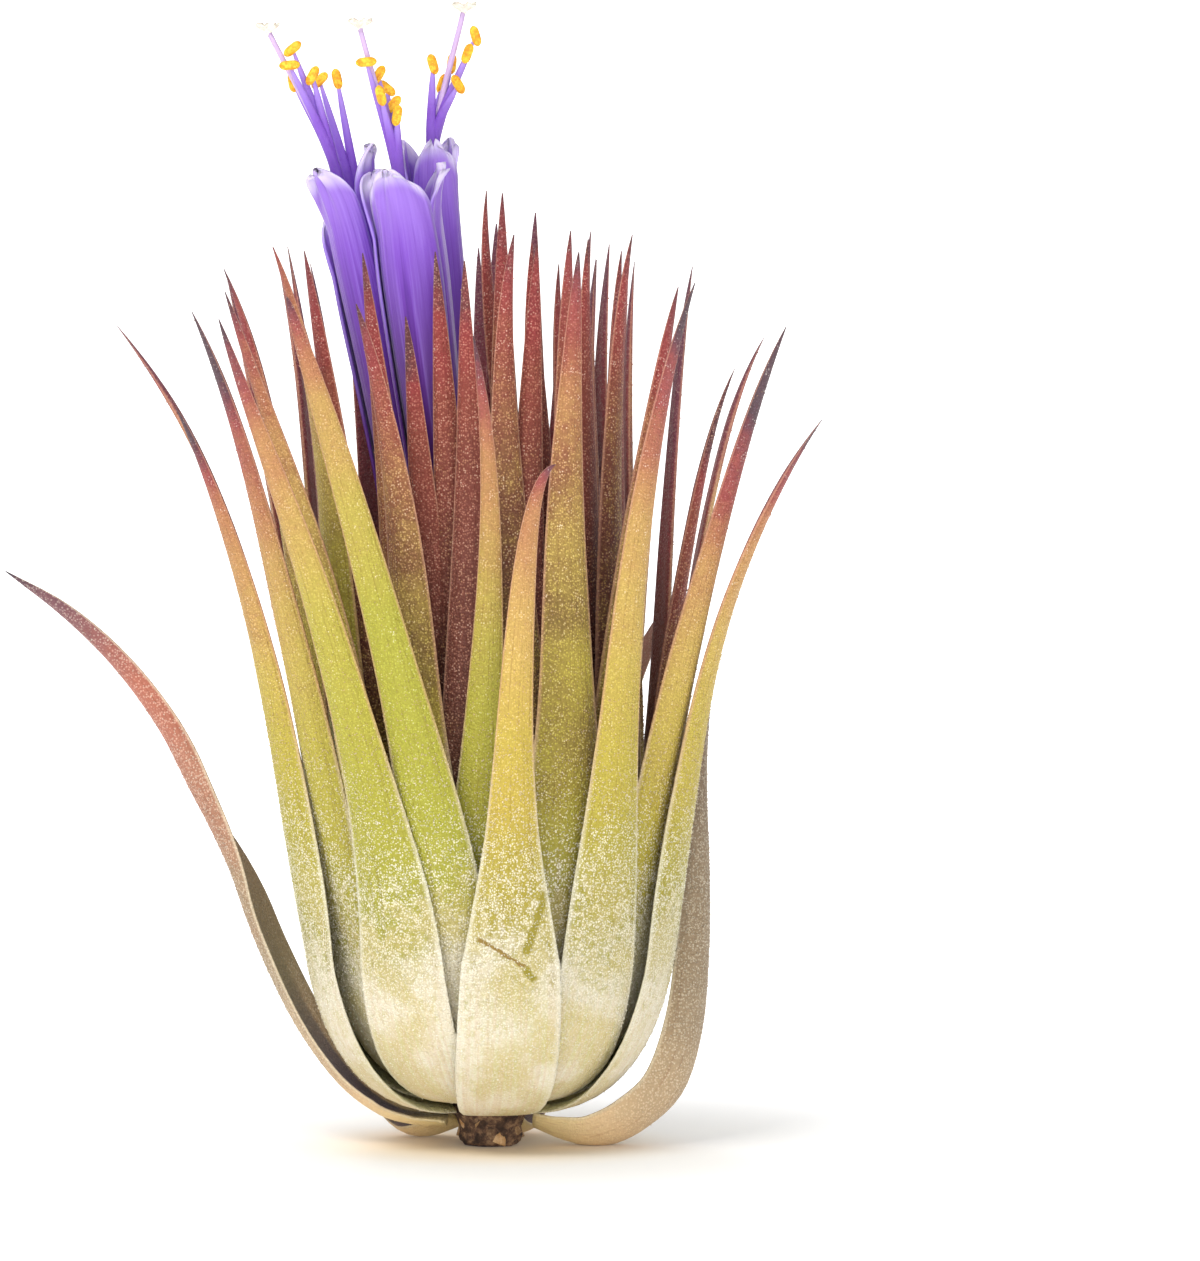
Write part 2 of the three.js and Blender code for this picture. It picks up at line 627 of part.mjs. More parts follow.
for (const [name, { anthers, stigma }] of Object.entries(STAMENS)) {
  const axis = flowerAxis(FLOWERS[name]);
  const mouth = axis.getPoint(1);
  const reach = (end, over) => {
    const out = end.clone().sub(mouth).setZ(0).clampLength(0.3, 0.36);
    const passing = over ? new THREE.Vector3(...over) : mouth.clone().add(out);
    const inTube = axis.getPoint(0.78).addScaledVector(out, 0.8);
    return new THREE.CatmullRomCurve3([axis.getPoint(FREE_OF_COLUMN), inTube, passing, end]);
  };
  let inside = rod(axis, COLUMN, 8);
  for (const { at, tilt, over } of anthers) {
    const middle = new THREE.Vector3(...at);
    inside = inside.add(rod(reach(middle, over), FILAMENT, 5));
    const half = new THREE.Vector3(Math.sin(radians(tilt)), 0, Math.cos(radians(tilt)));
    half.multiplyScalar(ANTHER_LONG / 2);
    const bar = new THREE.LineCurve3(middle.clone().sub(half), middle.clone().add(half));
    inside = inside.add(rod(bar, ANTHER, 6));
  }
  const end = new THREE.Vector3(...stigma);
  inside = inside.add(rod(reach(end), FILAMENT, 6));
  const cup = new THREE.LineCurve3(end.clone().setZ(end.z - 0.3), end.clone().setZ(end.z + 0.6));
  inside = inside.add(rod(cup, STIGMA, 8));
  add(`stamens_and_style_${name}`, skin(inside), GOLD);
}

export default plant;
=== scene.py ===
import math

import bmesh
import bpy
import numpy as np
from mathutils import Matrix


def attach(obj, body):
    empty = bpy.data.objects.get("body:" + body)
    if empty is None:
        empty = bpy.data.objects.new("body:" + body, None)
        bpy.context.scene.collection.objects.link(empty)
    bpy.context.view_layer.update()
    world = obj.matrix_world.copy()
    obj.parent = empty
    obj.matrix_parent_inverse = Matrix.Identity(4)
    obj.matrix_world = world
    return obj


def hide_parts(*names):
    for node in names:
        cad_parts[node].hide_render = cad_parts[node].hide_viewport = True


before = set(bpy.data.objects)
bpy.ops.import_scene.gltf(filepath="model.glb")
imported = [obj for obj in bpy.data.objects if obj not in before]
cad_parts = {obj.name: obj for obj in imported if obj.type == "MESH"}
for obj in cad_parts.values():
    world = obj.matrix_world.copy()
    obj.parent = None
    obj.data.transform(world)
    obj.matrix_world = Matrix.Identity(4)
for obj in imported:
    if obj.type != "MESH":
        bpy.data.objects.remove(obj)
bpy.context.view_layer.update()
bpy.ops.object.select_all(action="DESELECT")

# The view: a long lens a little above the plant, looking down at it by four degrees. Sizes of the
# plant are millimetres until they reach Blender, which is given metres. Those of the lamps and of
# the sheet are metres.
MM = 0.001
VIEW_X = 8.27
VIEW_Z = 38.84
VIEW_DISTANCE = 900
VIEW_HEIGHT = 94.8
LOOK_DOWN = math.radians(4)
SENSOR = 36
bpy.ops.object.camera_add(
    location=(
        VIEW_X * MM,
        -VIEW_DISTANCE * math.cos(LOOK_DOWN) * MM,
        (VIEW_Z + VIEW_DISTANCE * math.sin(LOOK_DOWN)) * MM,
    ),
    rotation=(math.pi / 2 - LOOK_DOWN, 0, 0),
)
camera = bpy.context.object
camera.name = "view"
camera.data.sensor_width = SENSOR
camera.data.lens = SENSOR * VIEW_DISTANCE / VIEW_HEIGHT
camera.data.clip_start = 0.05
camera.data.clip_end = 20
bpy.context.scene.camera = camera
bpy.context.scene.view_settings.view_transform = "Standard"

# The studio: three soft lamps, the strongest above on the left, a broad one low in front and a
# faint one behind. A white world fills the shadows.
LAMPS = (  # name, place, size, power, colour
    ("key_lamp", (-0.34, -0.45, 0.78), 0.4, 4.6, (1, 0.98, 0.95)),
    ("front_lamp", (0.16, -0.95, 0.22), 0.6, 3.6, (1, 1, 0.99)),
    ("back_lamp", (-0.25, 0.6, 0.5), 0.4, 1.4, (1, 1, 1)),
)
LAMPS_AIM = (0, 0, 0.04)
WORLD_COLOUR = (0.97, 0.98, 1, 1)
WORLD_STRENGTH = 0.4
for lamp_name, place, size, power, colour in LAMPS:
    bpy.ops.object.light_add(type="AREA", location=place)
    lamp = bpy.context.object
    lamp.name = lamp_name
    lamp.data.size = size
    lamp.data.energy = power
    lamp.data.color = colour
    aim = np.array(LAMPS_AIM) - np.array(place)
    lamp.rotation_euler = (
        math.atan2(math.hypot(aim[0], aim[1]), -aim[2]),
        0,
        math.atan2(aim[1], aim[0]) - math.pi / 2,
    )
world = bpy.data.worlds.new("white_room")
world.use_nodes = True
world.node_tree.nodes["Background"].inputs["Color"].default_value = WORLD_COLOUR
world.node_tree.nodes["Background"].inputs["Strength"].default_value = WORLD_STRENGTH
bpy.context.scene.world = world

# The sheet that the plant stands on: matt white paper, one plane with its back edge drawn up and
# the fold made round. Close to the stub it is tinted warm and glows least, a painted warm shadow
# under the plant. Further out it glows, so that it stays white under lamps that are set for the
# plant.
SHEET_SIZE = 3
SHEET_DROP = 0.00002
SHEET_RISE = 1.4
SHEET_FOLD = 0.5
FOLD_STEPS = 12


def paint(red, green, blue):
    """A colour as it looks on a screen, 0 to 255, in the linear values that a shader takes."""
    shares = (c / 255 for c in (red, green, blue))
    linear = (c / 12.92 if c <= 0.04045 else ((c + 0.055) / 1.055) ** 2.4 for c in shares)
    return (*linear, 1)


class Finish:
    """A material, built up from patterns that are measured in millimetres."""

    def __init__(self, name, **constants):
        self.material = bpy.data.materials.new(name)
        self.material.use_nodes = True
        self.tree = self.material.node_tree
        self.shader = self.tree.nodes["Principled BSDF"]
        for socket, value in constants.items():
            self.shader.inputs[socket.replace("_", " ")].default_value = value
        where = self.tree.nodes.new("ShaderNodeTexCoord").outputs["Object"]
        self.place = self.add("ShaderNodeVectorMath", [where, (1 / MM, 1 / MM, 1 / MM)],
                              operation="MULTIPLY").outputs[0]
        self.x, self.y, self.z = self.add("ShaderNodeSeparateXYZ", [self.place]).outputs

    def add(self, kind, inputs, **settings):
        """A new node. Its inputs are given by their names or in their order."""
        node = self.tree.nodes.new(kind)
        for setting, value in settings.items():
            setattr(node, setting, value)
        pairs = inputs.items() if isinstance(inputs, dict) else enumerate(inputs)
        for socket, value in pairs:
            self.give(node.inputs[socket], value)
        return node

    def give(self, socket, value):
        if isinstance(value, bpy.types.NodeSocket):
            self.tree.links.new(value, socket)
        else:
            socket.default_value = value

    def put(self, socket, value):
        """Joins a finished pattern to the shader."""
        self.give(self.shader.inputs[socket], value)

    def read(self, attribute):
        """A value that the points of the mesh carry."""
        return self.add("ShaderNodeAttribute", [], attribute_name=attribute).outputs["Fac"]

    def math(self, operation, *values):
        return self.add("ShaderNodeMath", values, operation=operation).outputs[0]

    def times(self, *values):
        result = values[0]
        for value in values[1:]:
            result = self.math("MULTIPLY", result, value)
        return result

    def plus(self, value, change, share=1.0):
        return self.math("MULTIPLY_ADD", change, share, value)

    def rest(self, share):
        """What a share leaves of 1."""
        return self.math("SUBTRACT", 1.0, share)

    def ease(self, value, low, high):
        """0 below low, 1 above high, and a smooth rise between them."""
        values = {"Value": value, "From Min": low, "From Max": high}
        node = self.add("ShaderNodeMapRange", values, interpolation_type="SMOOTHSTEP")
        return node.outputs["Result"]

    def fall(self, value, low, high):
        return self.rest(self.ease(value, low, high))

    def mix(self, share, under, over, blend="MIX"):
        return self.add("ShaderNodeMix", {0: share, 6: under, 7: over}, data_type="RGBA",
                        blend_type=blend, clamp_factor=True).outputs[2]

    def ramp(self, value, *stops):
        """A colour that changes with a value. The stops are places from 0 to 1, in their order."""
        node = self.add("ShaderNodeValToRGB", [value])
        points = node.color_ramp.elements
        for position, _ in stops[2:]:
            points.new(position)
        for point, (position, colour) in zip(points, stops):
            point.position = position
            point.color = paint(*colour)
        return node.outputs["Color"]

    def stretch(self, across, along, turn=0.0):
        """Coordinates that run with the piece, for patterns drawn out along it."""
        return self.add("ShaderNodeCombineXYZ", [across, along, turn]).outputs[0]

    def noise(self, scale, detail, at=None, roughness=0.5):
        values = {"Vector": at or self.place, "Scale": scale, "Detail": detail,
                  "Roughness": roughness}
        return self.add("ShaderNodeTexNoise", values).outputs["Fac"]

    def wander(self, scale, detail, roughness=0.5):
        """Noise that swings about 0."""
        return self.math("SUBTRACT", self.noise(scale, detail, roughness=roughness), 0.5)

    def cells(self, scale):
        """Small cells, each of its own shade, and the distance from the middle of the cell."""
        node = self.add("ShaderNodeTexVoronoi", {"Vector": self.place, "Scale": scale})
        shade = self.add("ShaderNodeSeparateColor", [node.outputs["Color"]])
        return shade.outputs[0], node.outputs["Distance"]

    def bump(self, height, depth, strength=1.0):
        values = {"Height": height, "Distance": depth * MM, "Strength": strength}
        return self.add("ShaderNodeBump", values).outputs["Normal"]


bpy.ops.mesh.primitive_plane_add(size=SHEET_SIZE, location=(0, 0, -SHEET_DROP))
sheet = bpy.context.object
sheet.name = "white_sheet"
bpy.ops.object.mode_set(mode="EDIT")
bpy.ops.mesh.select_all(action="DESELECT")
bpy.ops.object.mode_set(mode="OBJECT")
for edge in sheet.data.edges:
    edge.select = all(sheet.data.vertices[v].co.y > 0 for v in edge.vertices)
bpy.ops.object.mode_set(mode="EDIT")
bpy.ops.mesh.select_mode(type="EDGE")
bpy.ops.mesh.extrude_region_move(TRANSFORM_OT_translate={"value": (0, 0, SHEET_RISE)})
bpy.ops.object.mode_set(mode="OBJECT")
fold = sheet.modifiers.new("fold", "BEVEL")
fold.width = SHEET_FOLD
fold.segments = FOLD_STEPS
bpy.ops.object.modifier_apply(modifier="fold")
bpy.ops.object.shade_smooth()
bpy.ops.object.transform_apply(location=True, rotation=True, scale=True)

paper = Finish("white_sheet", Roughness=0.9, Emission_Color=(1, 1, 1, 1))
squared = paper.plus(paper.times(paper.x, paper.x), paper.times(paper.y, paper.y))
far = paper.math("SQRT", squared)
# Painted shadow and light: a warm tint close to the stub, and a glow that is weakest there and
# rises further out.
painted_shadow_tint = paper.mix(paper.ease(far, 2, 17), paint(236, 214, 176), paint(240, 240, 240))
paper.put("Base Color", painted_shadow_tint)
paper.put("Emission Strength", paper.plus(0.06, paper.ease(far, 8, 70), 0.8))
sheet.data.materials.append(paper.material)


# Stem: a short stub of dead stem, dark brown and rough where it was broken off, with a few torn
# fibres round its rim. They are pale, and the brightest of them carry a painted highlight. Above
# it, hidden in the leaf bases, is the living stem. One solid piece.
STUB_PROFILE = (  # radius, height
    (1.7, 0), (2.2, 0.08), (2.5, 0.35), (2.6, 0.75), (2.52, 1.1), (2.44, 1.4), (2.5, 1.7),
    (2.6, 2.1), (2.9, 2.6), (2.7, 4.6), (2.5, 6.6), (2.3, 8.6), (2.12, 10.4), (1.2, 10.4),
)
STUB_SIDES = 64
BREAK_HEIGHT = 2.3
BREAK_DEPTH = 0.22
BREAK_RISE = 0.12
ANY_PHASE = (0, 6.3)
# How pale a chip is: partly the tan of its torn fibres, partly a painted highlight on the
# brightest.
CHIPS = (  # azimuth, height, width, length, lean, how pale
    (-52, 2.0, 1.0, 1.0, 60, 0.9), (-28, 2.1, 1.0, 0.9, -50, 0.7), (-6, 1.2, 1.0, 1.1, -65, 0.15),
    (24, 1.2, 1.2, 2.0, 22, 1), (58, 1.5, 0.9, 1.2, -20, 0.4), (110, 1.2, 1.0, 1.5, 15, 0.6),
    (165, 1.4, 0.9, 1.3, -30, 0.5), (-135, 1.1, 1.0, 1.4, 20, 0.8), (-85, 1.4, 0.8, 1.4, -10, 0.5),
)
CHIP_THICK = 0.28
CHIP_TILT = math.radians(-12)
CHIPS_OUT = 2.32
MERGE_WITHIN = 0.000001


def once_round(sides):
    return np.linspace(0, 2 * math.pi, sides, endpoint=False)


def upright_ring(turns, radius, height, middle=(0, 0)):
    """Points round an upright line. Radius and height may change on the way round."""
    x = middle[0] + radius * np.cos(turns)
    y = middle[1] + radius * np.sin(turns)
    return np.stack([x, y, height + 0 * turns], axis=1)


def mark_points(piece, mark, values):
    """A value for each point of a piece, for its finish to read."""
    store = piece.data.attributes.new(mark, "FLOAT", "POINT")
    store.data.foreach_set("value", values.astype(np.float32))


def drop_uvs(piece):
    while piece.data.uv_layers:
        piece.data.uv_layers.remove(piece.data.uv_layers[0])


def rolled(name, rings, **marks):
    """A closed skin over rings of points: a grid, rolled up ring by ring, and its ends filled."""
    rings = np.asarray(rings)
    rows, around = rings.shape[:2]
    bpy.ops.mesh.primitive_grid_add(x_subdivisions=around, y_subdivisions=rows - 1, size=1)
    piece = bpy.context.object
    piece.name = name
    piece.data.name = name
    closed = np.concatenate([rings, rings[:, :1]], axis=1) * MM
    piece.data.vertices.foreach_set("co", closed.ravel())
    for mark, values in marks.items():
        values = np.broadcast_to(values, (rows, around))
        mark_points(piece, mark, np.concatenate([values, values[:, :1]], axis=1).ravel())
    bpy.ops.object.mode_set(mode="EDIT")
    bpy.ops.mesh.select_all(action="SELECT")
    bpy.ops.mesh.remove_doubles(threshold=MERGE_WITHIN)
    bpy.ops.mesh.select_all(action="DESELECT")
    bpy.ops.mesh.select_non_manifold(extend=False)
    bpy.ops.mesh.fill_holes(sides=0)
    bpy.ops.mesh.select_all(action="SELECT")
    # A frilled rim can be taken for the outside of the skin, which turns all its faces inwards.
    bpy.ops.mesh.normals_make_consistent(inside=False)
    if bmesh.from_edit_mesh(piece.data).calc_volume(signed=True) < 0:
        bpy.ops.mesh.flip_normals()
    bpy.ops.object.mode_set(mode="OBJECT")
    bpy.ops.object.transform_apply(location=True, rotation=True, scale=True)
    bpy.ops.object.shade_smooth()
    drop_uvs(piece)
    return piece


def join(name, pieces):
    """Several pieces made one object, as grown together."""
    bpy.ops.object.select_all(action="DESELECT")
    for piece in pieces:
        piece.select_set(True)
    bpy.context.view_layer.objects.active = pieces[0]
    bpy.ops.object.join()
    whole = bpy.context.object
    whole.name = name
    whole.data.name = name
    return whole


def finish_piece(piece, finish, node):
    """Gives a piece its material, hangs it on the root body and hides the CAD node that it stands
    for.
    """
    piece.data.materials.clear()
    piece.data.materials.append(finish.material)
    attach(piece, "root")
    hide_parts(node)
    bpy.ops.object.select_all(action="DESELECT")


def ragged(turns, seed, waves):
    """A closed, uneven line round the stem, between about -1 and 1."""
    dice = np.random.default_rng(seed)
    line = sum(
        np.sin(turns * k + dice.uniform(*ANY_PHASE)) * dice.uniform(0.3, 1) / k**0.7
        for k in range(2, 2 + waves)
    )
    return line / 2.2


turns = once_round(STUB_SIDES)
stub_rings = []
for i, (radius, height) in enumerate(STUB_PROFILE):
    broken = max(0, 1 - height / BREAK_HEIGHT) * (height > 0)
    r = radius - BREAK_DEPTH * broken * (1 + ragged(turns, 10 + i // 2, 12))
    z = height + BREAK_RISE * broken * ragged(turns, 40 + i, 9)
    stub_rings.append(upright_ring(turns, r, np.maximum(z, 0)))
stub = rolled("stub_body", stub_rings)

chips = []
for azimuth, height, width, length, lean, pale in CHIPS:
    bpy.ops.mesh.primitive_cone_add(vertices=5, radius1=0.5, radius2=0.08, depth=1)
    chip = bpy.context.object
    chip.scale = (width * MM, CHIP_THICK * MM, length * MM)
    angle = math.radians(azimuth)
    chip.rotation_euler = (CHIP_TILT, math.radians(lean), angle)
    x, y = CHIPS_OUT * math.sin(angle), -CHIPS_OUT * math.cos(angle)
    chip.location = (x * MM, y * MM, height * MM)
    bpy.ops.object.transform_apply(location=True, rotation=True, scale=True)
    mark_points(chip, "fibre_and_highlight", np.full(len(chip.data.vertices), pale))
    drop_uvs(chip)
    chips.append(chip)
stem = join("broken_stem", [stub, *chips])

dry = Finish("dry_stub", Roughness=0.92)
grain = dry.noise(1.5, 6, roughness=0.7)
flakes, _ = dry.cells(2.6)
bark = dry.ramp(grain, (0.36, (60, 46, 42)), (0.5, (120, 92, 74)), (0.62, (180, 146, 116)))
bark = dry.mix(dry.times(dry.ease(flakes, 0.6, 0.8), 0.6), bark, paint(60, 44, 38))
torn = dry.ramp(grain, (0.35, (214, 160, 104)), (0.62, (252, 214, 164)))
# Pale torn fibre on the chips, partly their own tan and partly painted highlight.
dry.put("Base Color", dry.mix(dry.read("fibre_and_highlight"), bark, torn))
dry.put("Normal", dry.bump(dry.plus(grain, flakes, 0.4), 0.5))
finish_piece(stem, dry, "stem")


# Rosette leaves: living leaves whose broad pale bases wrap round the stem in nested bowls and
# narrow to a long channelled point. Each grows from the stem and is coated in fine silver scales.
# 40 leaves in six rows, the outermost row first.
OUTER = np.array((-1, -0.965, -0.87, -0.7, -0.48, -0.24, 0, 0.24, 0.48, 0.7, 0.87, 0.965, 1))
INNER = np.array((0.985, 0.89, 0.7, 0.45, 0.15, -0.15, -0.45, -0.7, -0.89, -0.985))
ROUND_LEAF = np.concatenate([OUTER, INNER])
CHANNEL = np.concatenate([OUTER * 0, (0.5, *[1] * 8, 0.5)])
MARGIN_THINNER = 0.86
UP = np.array((0, 0, 1.0))

# The base of a leaf, and how far inside one row the next one lies.
STEM_RADIUS = 3.2
SHEATH_FOOT = 2.6
SHEATH_LONG = 18
SHEATH_THICK = 0.62
SHEATH_STEEPEST = math.radians(84)
SHEATH_BEND = 8.8
SHEATH_STEP = 0.05
LAYER = 0.86
SHEATH_WIDTHS = ((0, 0.6), (3, 0.75), (6, 0.9), (9, 0.98), (13, 1), (18, 0.96))
# The blade: widths are shares of the leaf's width, cups are how far round its section bends.
BLADE_WIDTHS = (
    (0, 0.96), (0.1, 0.86), (0.22, 0.7), (0.36, 0.53), (0.52, 0.4), (0.68, 0.29), (0.82, 0.19),
    (0.93, 0.1), (0.975, 0.05), (1, 0.012),
)
BLADE_THICK = ((0, 0.62), (0.3, 0.66), (0.7, 0.6), (0.9, 0.45), (1, 0.06))
BLADE_CUPS = ((0, 0.3), (0.2, 0.55), (0.45, 0.75), (0.8, 0.8), (1, 0.8))
BLADE_RISE = 0.3
BLADE_BOW = 0.9
NECK_CUP = 0.48
NECK_SHARE = 0.12  # share of the blade over which the round base passes into the channel
TIP_TWIST = 9
SWAY_ACROSS = 0.32
SWAY_OUT = 0.22
UNEVEN_WIDTH = 0.05
FRONT_HALF = 95
TURNED_TO_LIGHT = 0.6


def unit(vector):
    return vector / np.linalg.norm(vector)


def outward(azimuth):
    return np.array((math.sin(azimuth), -math.cos(azimuth), 0))


def sideways(azimuth):
    return np.array((math.cos(azimuth), math.sin(azimuth), 0))


def read(table, at):
    """The value of a table at a place between its rows, on a smooth curve through them."""
    x, y = np.array(table).T
    slope = np.gradient(y, x)
    i = int(np.clip(np.searchsorted(x, at, side="right") - 1, 0, len(x) - 2))
    h = x[i + 1] - x[i]
    f = (at - x[i]) / h
    return (
        (1 + 2 * f) * (1 - f) ** 2 * y[i] + f * (1 - f) ** 2 * h * slope[i]
        + f * f * (3 - 2 * f) * y[i + 1] + f * f * (f - 1) * h * slope[i + 1]
    )


def sheath_angle(s):
    return SHEATH_STEEPEST * (1 - math.exp(-((s / SHEATH_BEND) ** 1.5)))


def sheath_point(s, depth):
    """Radius, height and slope of a leaf's outer face, a distance s out along its base, for a leaf
    that lies a depth inside the outermost row. Its foot is let into the stem."""
    angles = [sheath_angle(step) for step in np.arange(SHEATH_STEP / 2, s, SHEATH_STEP)]
    r = STEM_RADIUS + SHEATH_STEP * sum(math.cos(a) for a in angles)
    z = SHEATH_FOOT + SHEATH_STEP * sum(math.sin(a) for a in angles)
    angle = sheath_angle(s)
    taken = depth * 0.1 if s == 0 else math.sin(angle) * depth
    return r - taken, z + math.cos(angle) * depth, angle


def leaf_ring(at, side, out, drop, half, cup, thick):
    """One section of a leaf: a channelled strip, thick in the middle and thin at its margins."""
    bend = half / cup
    thick = min(thick, 0.8 * bend)
    u = ROUND_LEAF
    depth = np.where(CHANNEL > 0, thick * (1 - MARGIN_THINNER * np.abs(u) ** 3), 0)
    return (
        at
        + np.outer(bend * np.sin(u * cup), side)
        + np.outer(bend * (1 - np.cos(u * cup)), drop)
        - np.outer(depth, out)
    )


def rolled_over(across, out, roll):
    """A section's two directions, turned about the leaf's length."""
    return (
        across * math.cos(roll) - out * math.sin(roll),
        out * math.cos(roll) + across * math.sin(roll),
    )


def cubic(points, t):
    """The place and the direction on a curve between the first and the last of four points."""
    a, b, c, d = points
    place = (1 - t) ** 3 * a + 3 * t * (1 - t) ** 2 * b + 3 * t * t * (1 - t) * c + t**3 * d
    run = (1 - t) ** 2 * (b - a) + 2 * t * (1 - t) * (c - b) + t * t * (d - c)
    return place, unit(run)


def blade_line(neck, rise, away, tip, via):
    """The line of a blade: it leaves the base the way that the base rises, and runs to the tip,
    through the point via half way along or else in a slight bow."""
    departing = neck + rise * np.linalg.norm(tip - neck) * BLADE_RISE
    if via:
        arriving = (np.array(via) * 8 - neck - tip - departing * 3) / 3
    else:
        arriving = neck + (tip - neck) * 0.68 - away * BLADE_BOW
    return neck, departing, arriving, tip


def rosette_leaf(azimuth, depth, width, tip, via=None, *, seed, fullness, span=0.72,
                 turned=TURNED_TO_LIGHT, start=0, steps=(14, 44)):
    """The rings of one leaf, and how far along the leaf each lies. Leaves on the front half turn to
    the light: half way up, the way they face is down to the share turned."""
    dice = np.random.default_rng(seed)
    turn = azimuth * (turned - 1) if abs(azimuth) < FRONT_HALF else 0
    azimuth = math.radians(azimuth)
    away, side = outward(azimuth), sideways(azimuth)
    rings, along = [], []
    for s in np.linspace(start, SHEATH_LONG, steps[0], endpoint=False):
        r, z, angle = sheath_point(s, depth)
        half = min(read(SHEATH_WIDTHS, s) * width, span * r) / 2
        out = away * math.sin(angle) - UP * math.cos(angle)
        rings.append(leaf_ring(away * r + UP * z, side, out, -away, half, half / r, SHEATH_THICK))
        along.append(s)
    r, z, angle = sheath_point(SHEATH_LONG, depth)
    neck = away * r + UP * z
    tip = np.array(tip, float)
    line = blade_line(neck, away * math.cos(angle) + UP * math.sin(angle), away, tip, via)
    neck_cup = NECK_CUP * width / r
    sway = dice.uniform(-1, 1, 4)
    for t in np.linspace(0, 1, steps[1]) ** 0.93:
        at, run = cubic(line, t)
        across = unit(side - run * side.dot(run))
        out = np.cross(across, run)
        roll = math.radians(turn * min(1, 2 * t) + TIP_TWIST * sway[0] * t * t)
        across, out = rolled_over(across, out, roll)
        ease = min(1, t / NECK_SHARE)
        drop = unit(-away * (1 - ease) - out * ease)
        swing = math.sin(math.pi * t) * t
        at = at + across * SWAY_ACROSS * swing * math.sin(7 * t + 3 * sway[1]) * sway[2]
        at = at + out * SWAY_OUT * swing * math.sin(8 * t + 3 * sway[3])
        broad = read(BLADE_WIDTHS, t) * (1 + (fullness - 1) * min(1, t / 0.25))
        broad *= 1 + UNEVEN_WIDTH * math.sin(11 * t + 5 * sway[1]) * swing
        cup = max(neck_cup, read(BLADE_CUPS, t))
        rings.append(leaf_ring(at, across, out, drop, broad * width / 2, cup, read(BLADE_THICK, t)))
        along.append(SHEATH_LONG + t * np.linalg.norm(tip - neck))
    along = np.array(along)
    return np.array(rings), along / along[-1]


bpy.ops.mesh.primitive_cone_add(vertices=3, radius1=0.5, radius2=0, depth=1)
one_scale = bpy.context.object
SCALE_POINTS = np.array([v.co[:] for v in one_scale.data.vertices])
SCALE_FACES = np.array([f.vertices[:] for f in one_scale.data.polygons if len(f.vertices) == 3])
bpy.data.objects.remove(one_scale)
SCALE_SIZES = (0.08, 0.17)
SCALE_LEANS = (0.1, 0.9)
SCALE_SHINE = (0.35, 1)
SCALE_LIFT = 0.45
SCALES_BY_HEIGHT = (
    (0, 0.0), (5, 0.5), (9, 3), (14, 8), (22, 11), (28, 8), (34, 3.5), (42, 1.2), (90, 0.8),
)


def scale_coat(name, rings, along, count, seed, character):
    """Small pointed scales strewn over a leaf's outer face, each a copy of one modelled scale.
    They lie thickest on the pale bases."""
    dice = np.random.default_rng(seed)
    outer = rings[:, : len(OUTER)]
    a, b, c, d = outer[:-1, :-1], outer[:-1, 1:], outer[1:, :-1], outer[1:, 1:]
    area = np.linalg.norm(np.cross(b - a, c - a), axis=2)
    heights, density = np.array(SCALES_BY_HEIGHT).T
    weight = (area * np.interp((a + d)[:, :, 2] / 2, heights, density)).ravel()
    picks = dice.choice(weight.size, count, p=weight / weight.sum())
    row, column = np.divmod(picks, outer.shape[1] - 1)
    f, g = dice.random((2, count, 1))
    a, b = outer[row, column], outer[row, column + 1]
    c, d = outer[row + 1, column], outer[row + 1, column + 1]
    place = (a * (1 - g) + b * g) * (1 - f) + (c * (1 - g) + d * g) * f
    wide, long = b - a, c - a
    wide /= np.linalg.norm(wide, axis=1, keepdims=True)
    normal = np.cross(wide, long)
    normal /= np.linalg.norm(normal, axis=1, keepdims=True)
    long = np.cross(normal, wide)
    turn = dice.uniform(0, 2 * math.pi, (count, 1))
    first = wide * np.cos(turn) + long * np.sin(turn)
    second = long * np.cos(turn) - wide * np.sin(turn)
    lean = dice.uniform(*SCALE_LEANS, (count, 1))
    stand = normal * np.sqrt(1 - lean * lean) * 0.7 + first * lean
    large = dice.uniform(*SCALE_SIZES, (count, 1))
    x, y, z = SCALE_POINTS.T[:, :, None]
    points = place[:, None] + large[:, None] * (
        x * first[:, None] + y * second[:, None] + (z + SCALE_LIFT) * stand[:, None]
    )
    faces = (SCALE_FACES[None] + 4 * np.arange(count)[:, None, None]).reshape(-1, 3)
    mesh = bpy.data.meshes.new(name)
    mesh.from_pydata((points.reshape(-1, 3) * MM).tolist(), [], faces.tolist())
    coat = bpy.data.objects.new(name, mesh)
    bpy.context.collection.objects.link(coat)
    marks = {
        "along": along[row] * (1 - f[:, 0]) + along[row + 1] * f[:, 0],
        "across": OUTER[column] * (1 - g[:, 0]) + OUTER[column + 1] * g[:, 0],
        "coat": dice.uniform(*SCALE_SHINE, count),
        **character,
    }
    for mark, value in marks.items():
        mark_points(coat, mark, np.repeat(np.broadcast_to(value, count), 4))
    return coat


def leaf_object(name, rings, along, count, seed, **character):
    """One leaf with its coat of scales. Its character is how red, how green and how ripe it is."""
    blade = rolled(name, rings, along=along[:, None], across=ROUND_LEAF, channel=CHANNEL,
                   **character)
    coat = scale_coat(name + "_coat", rings, along, count, seed, character)
    return join(name, [blade, coat])


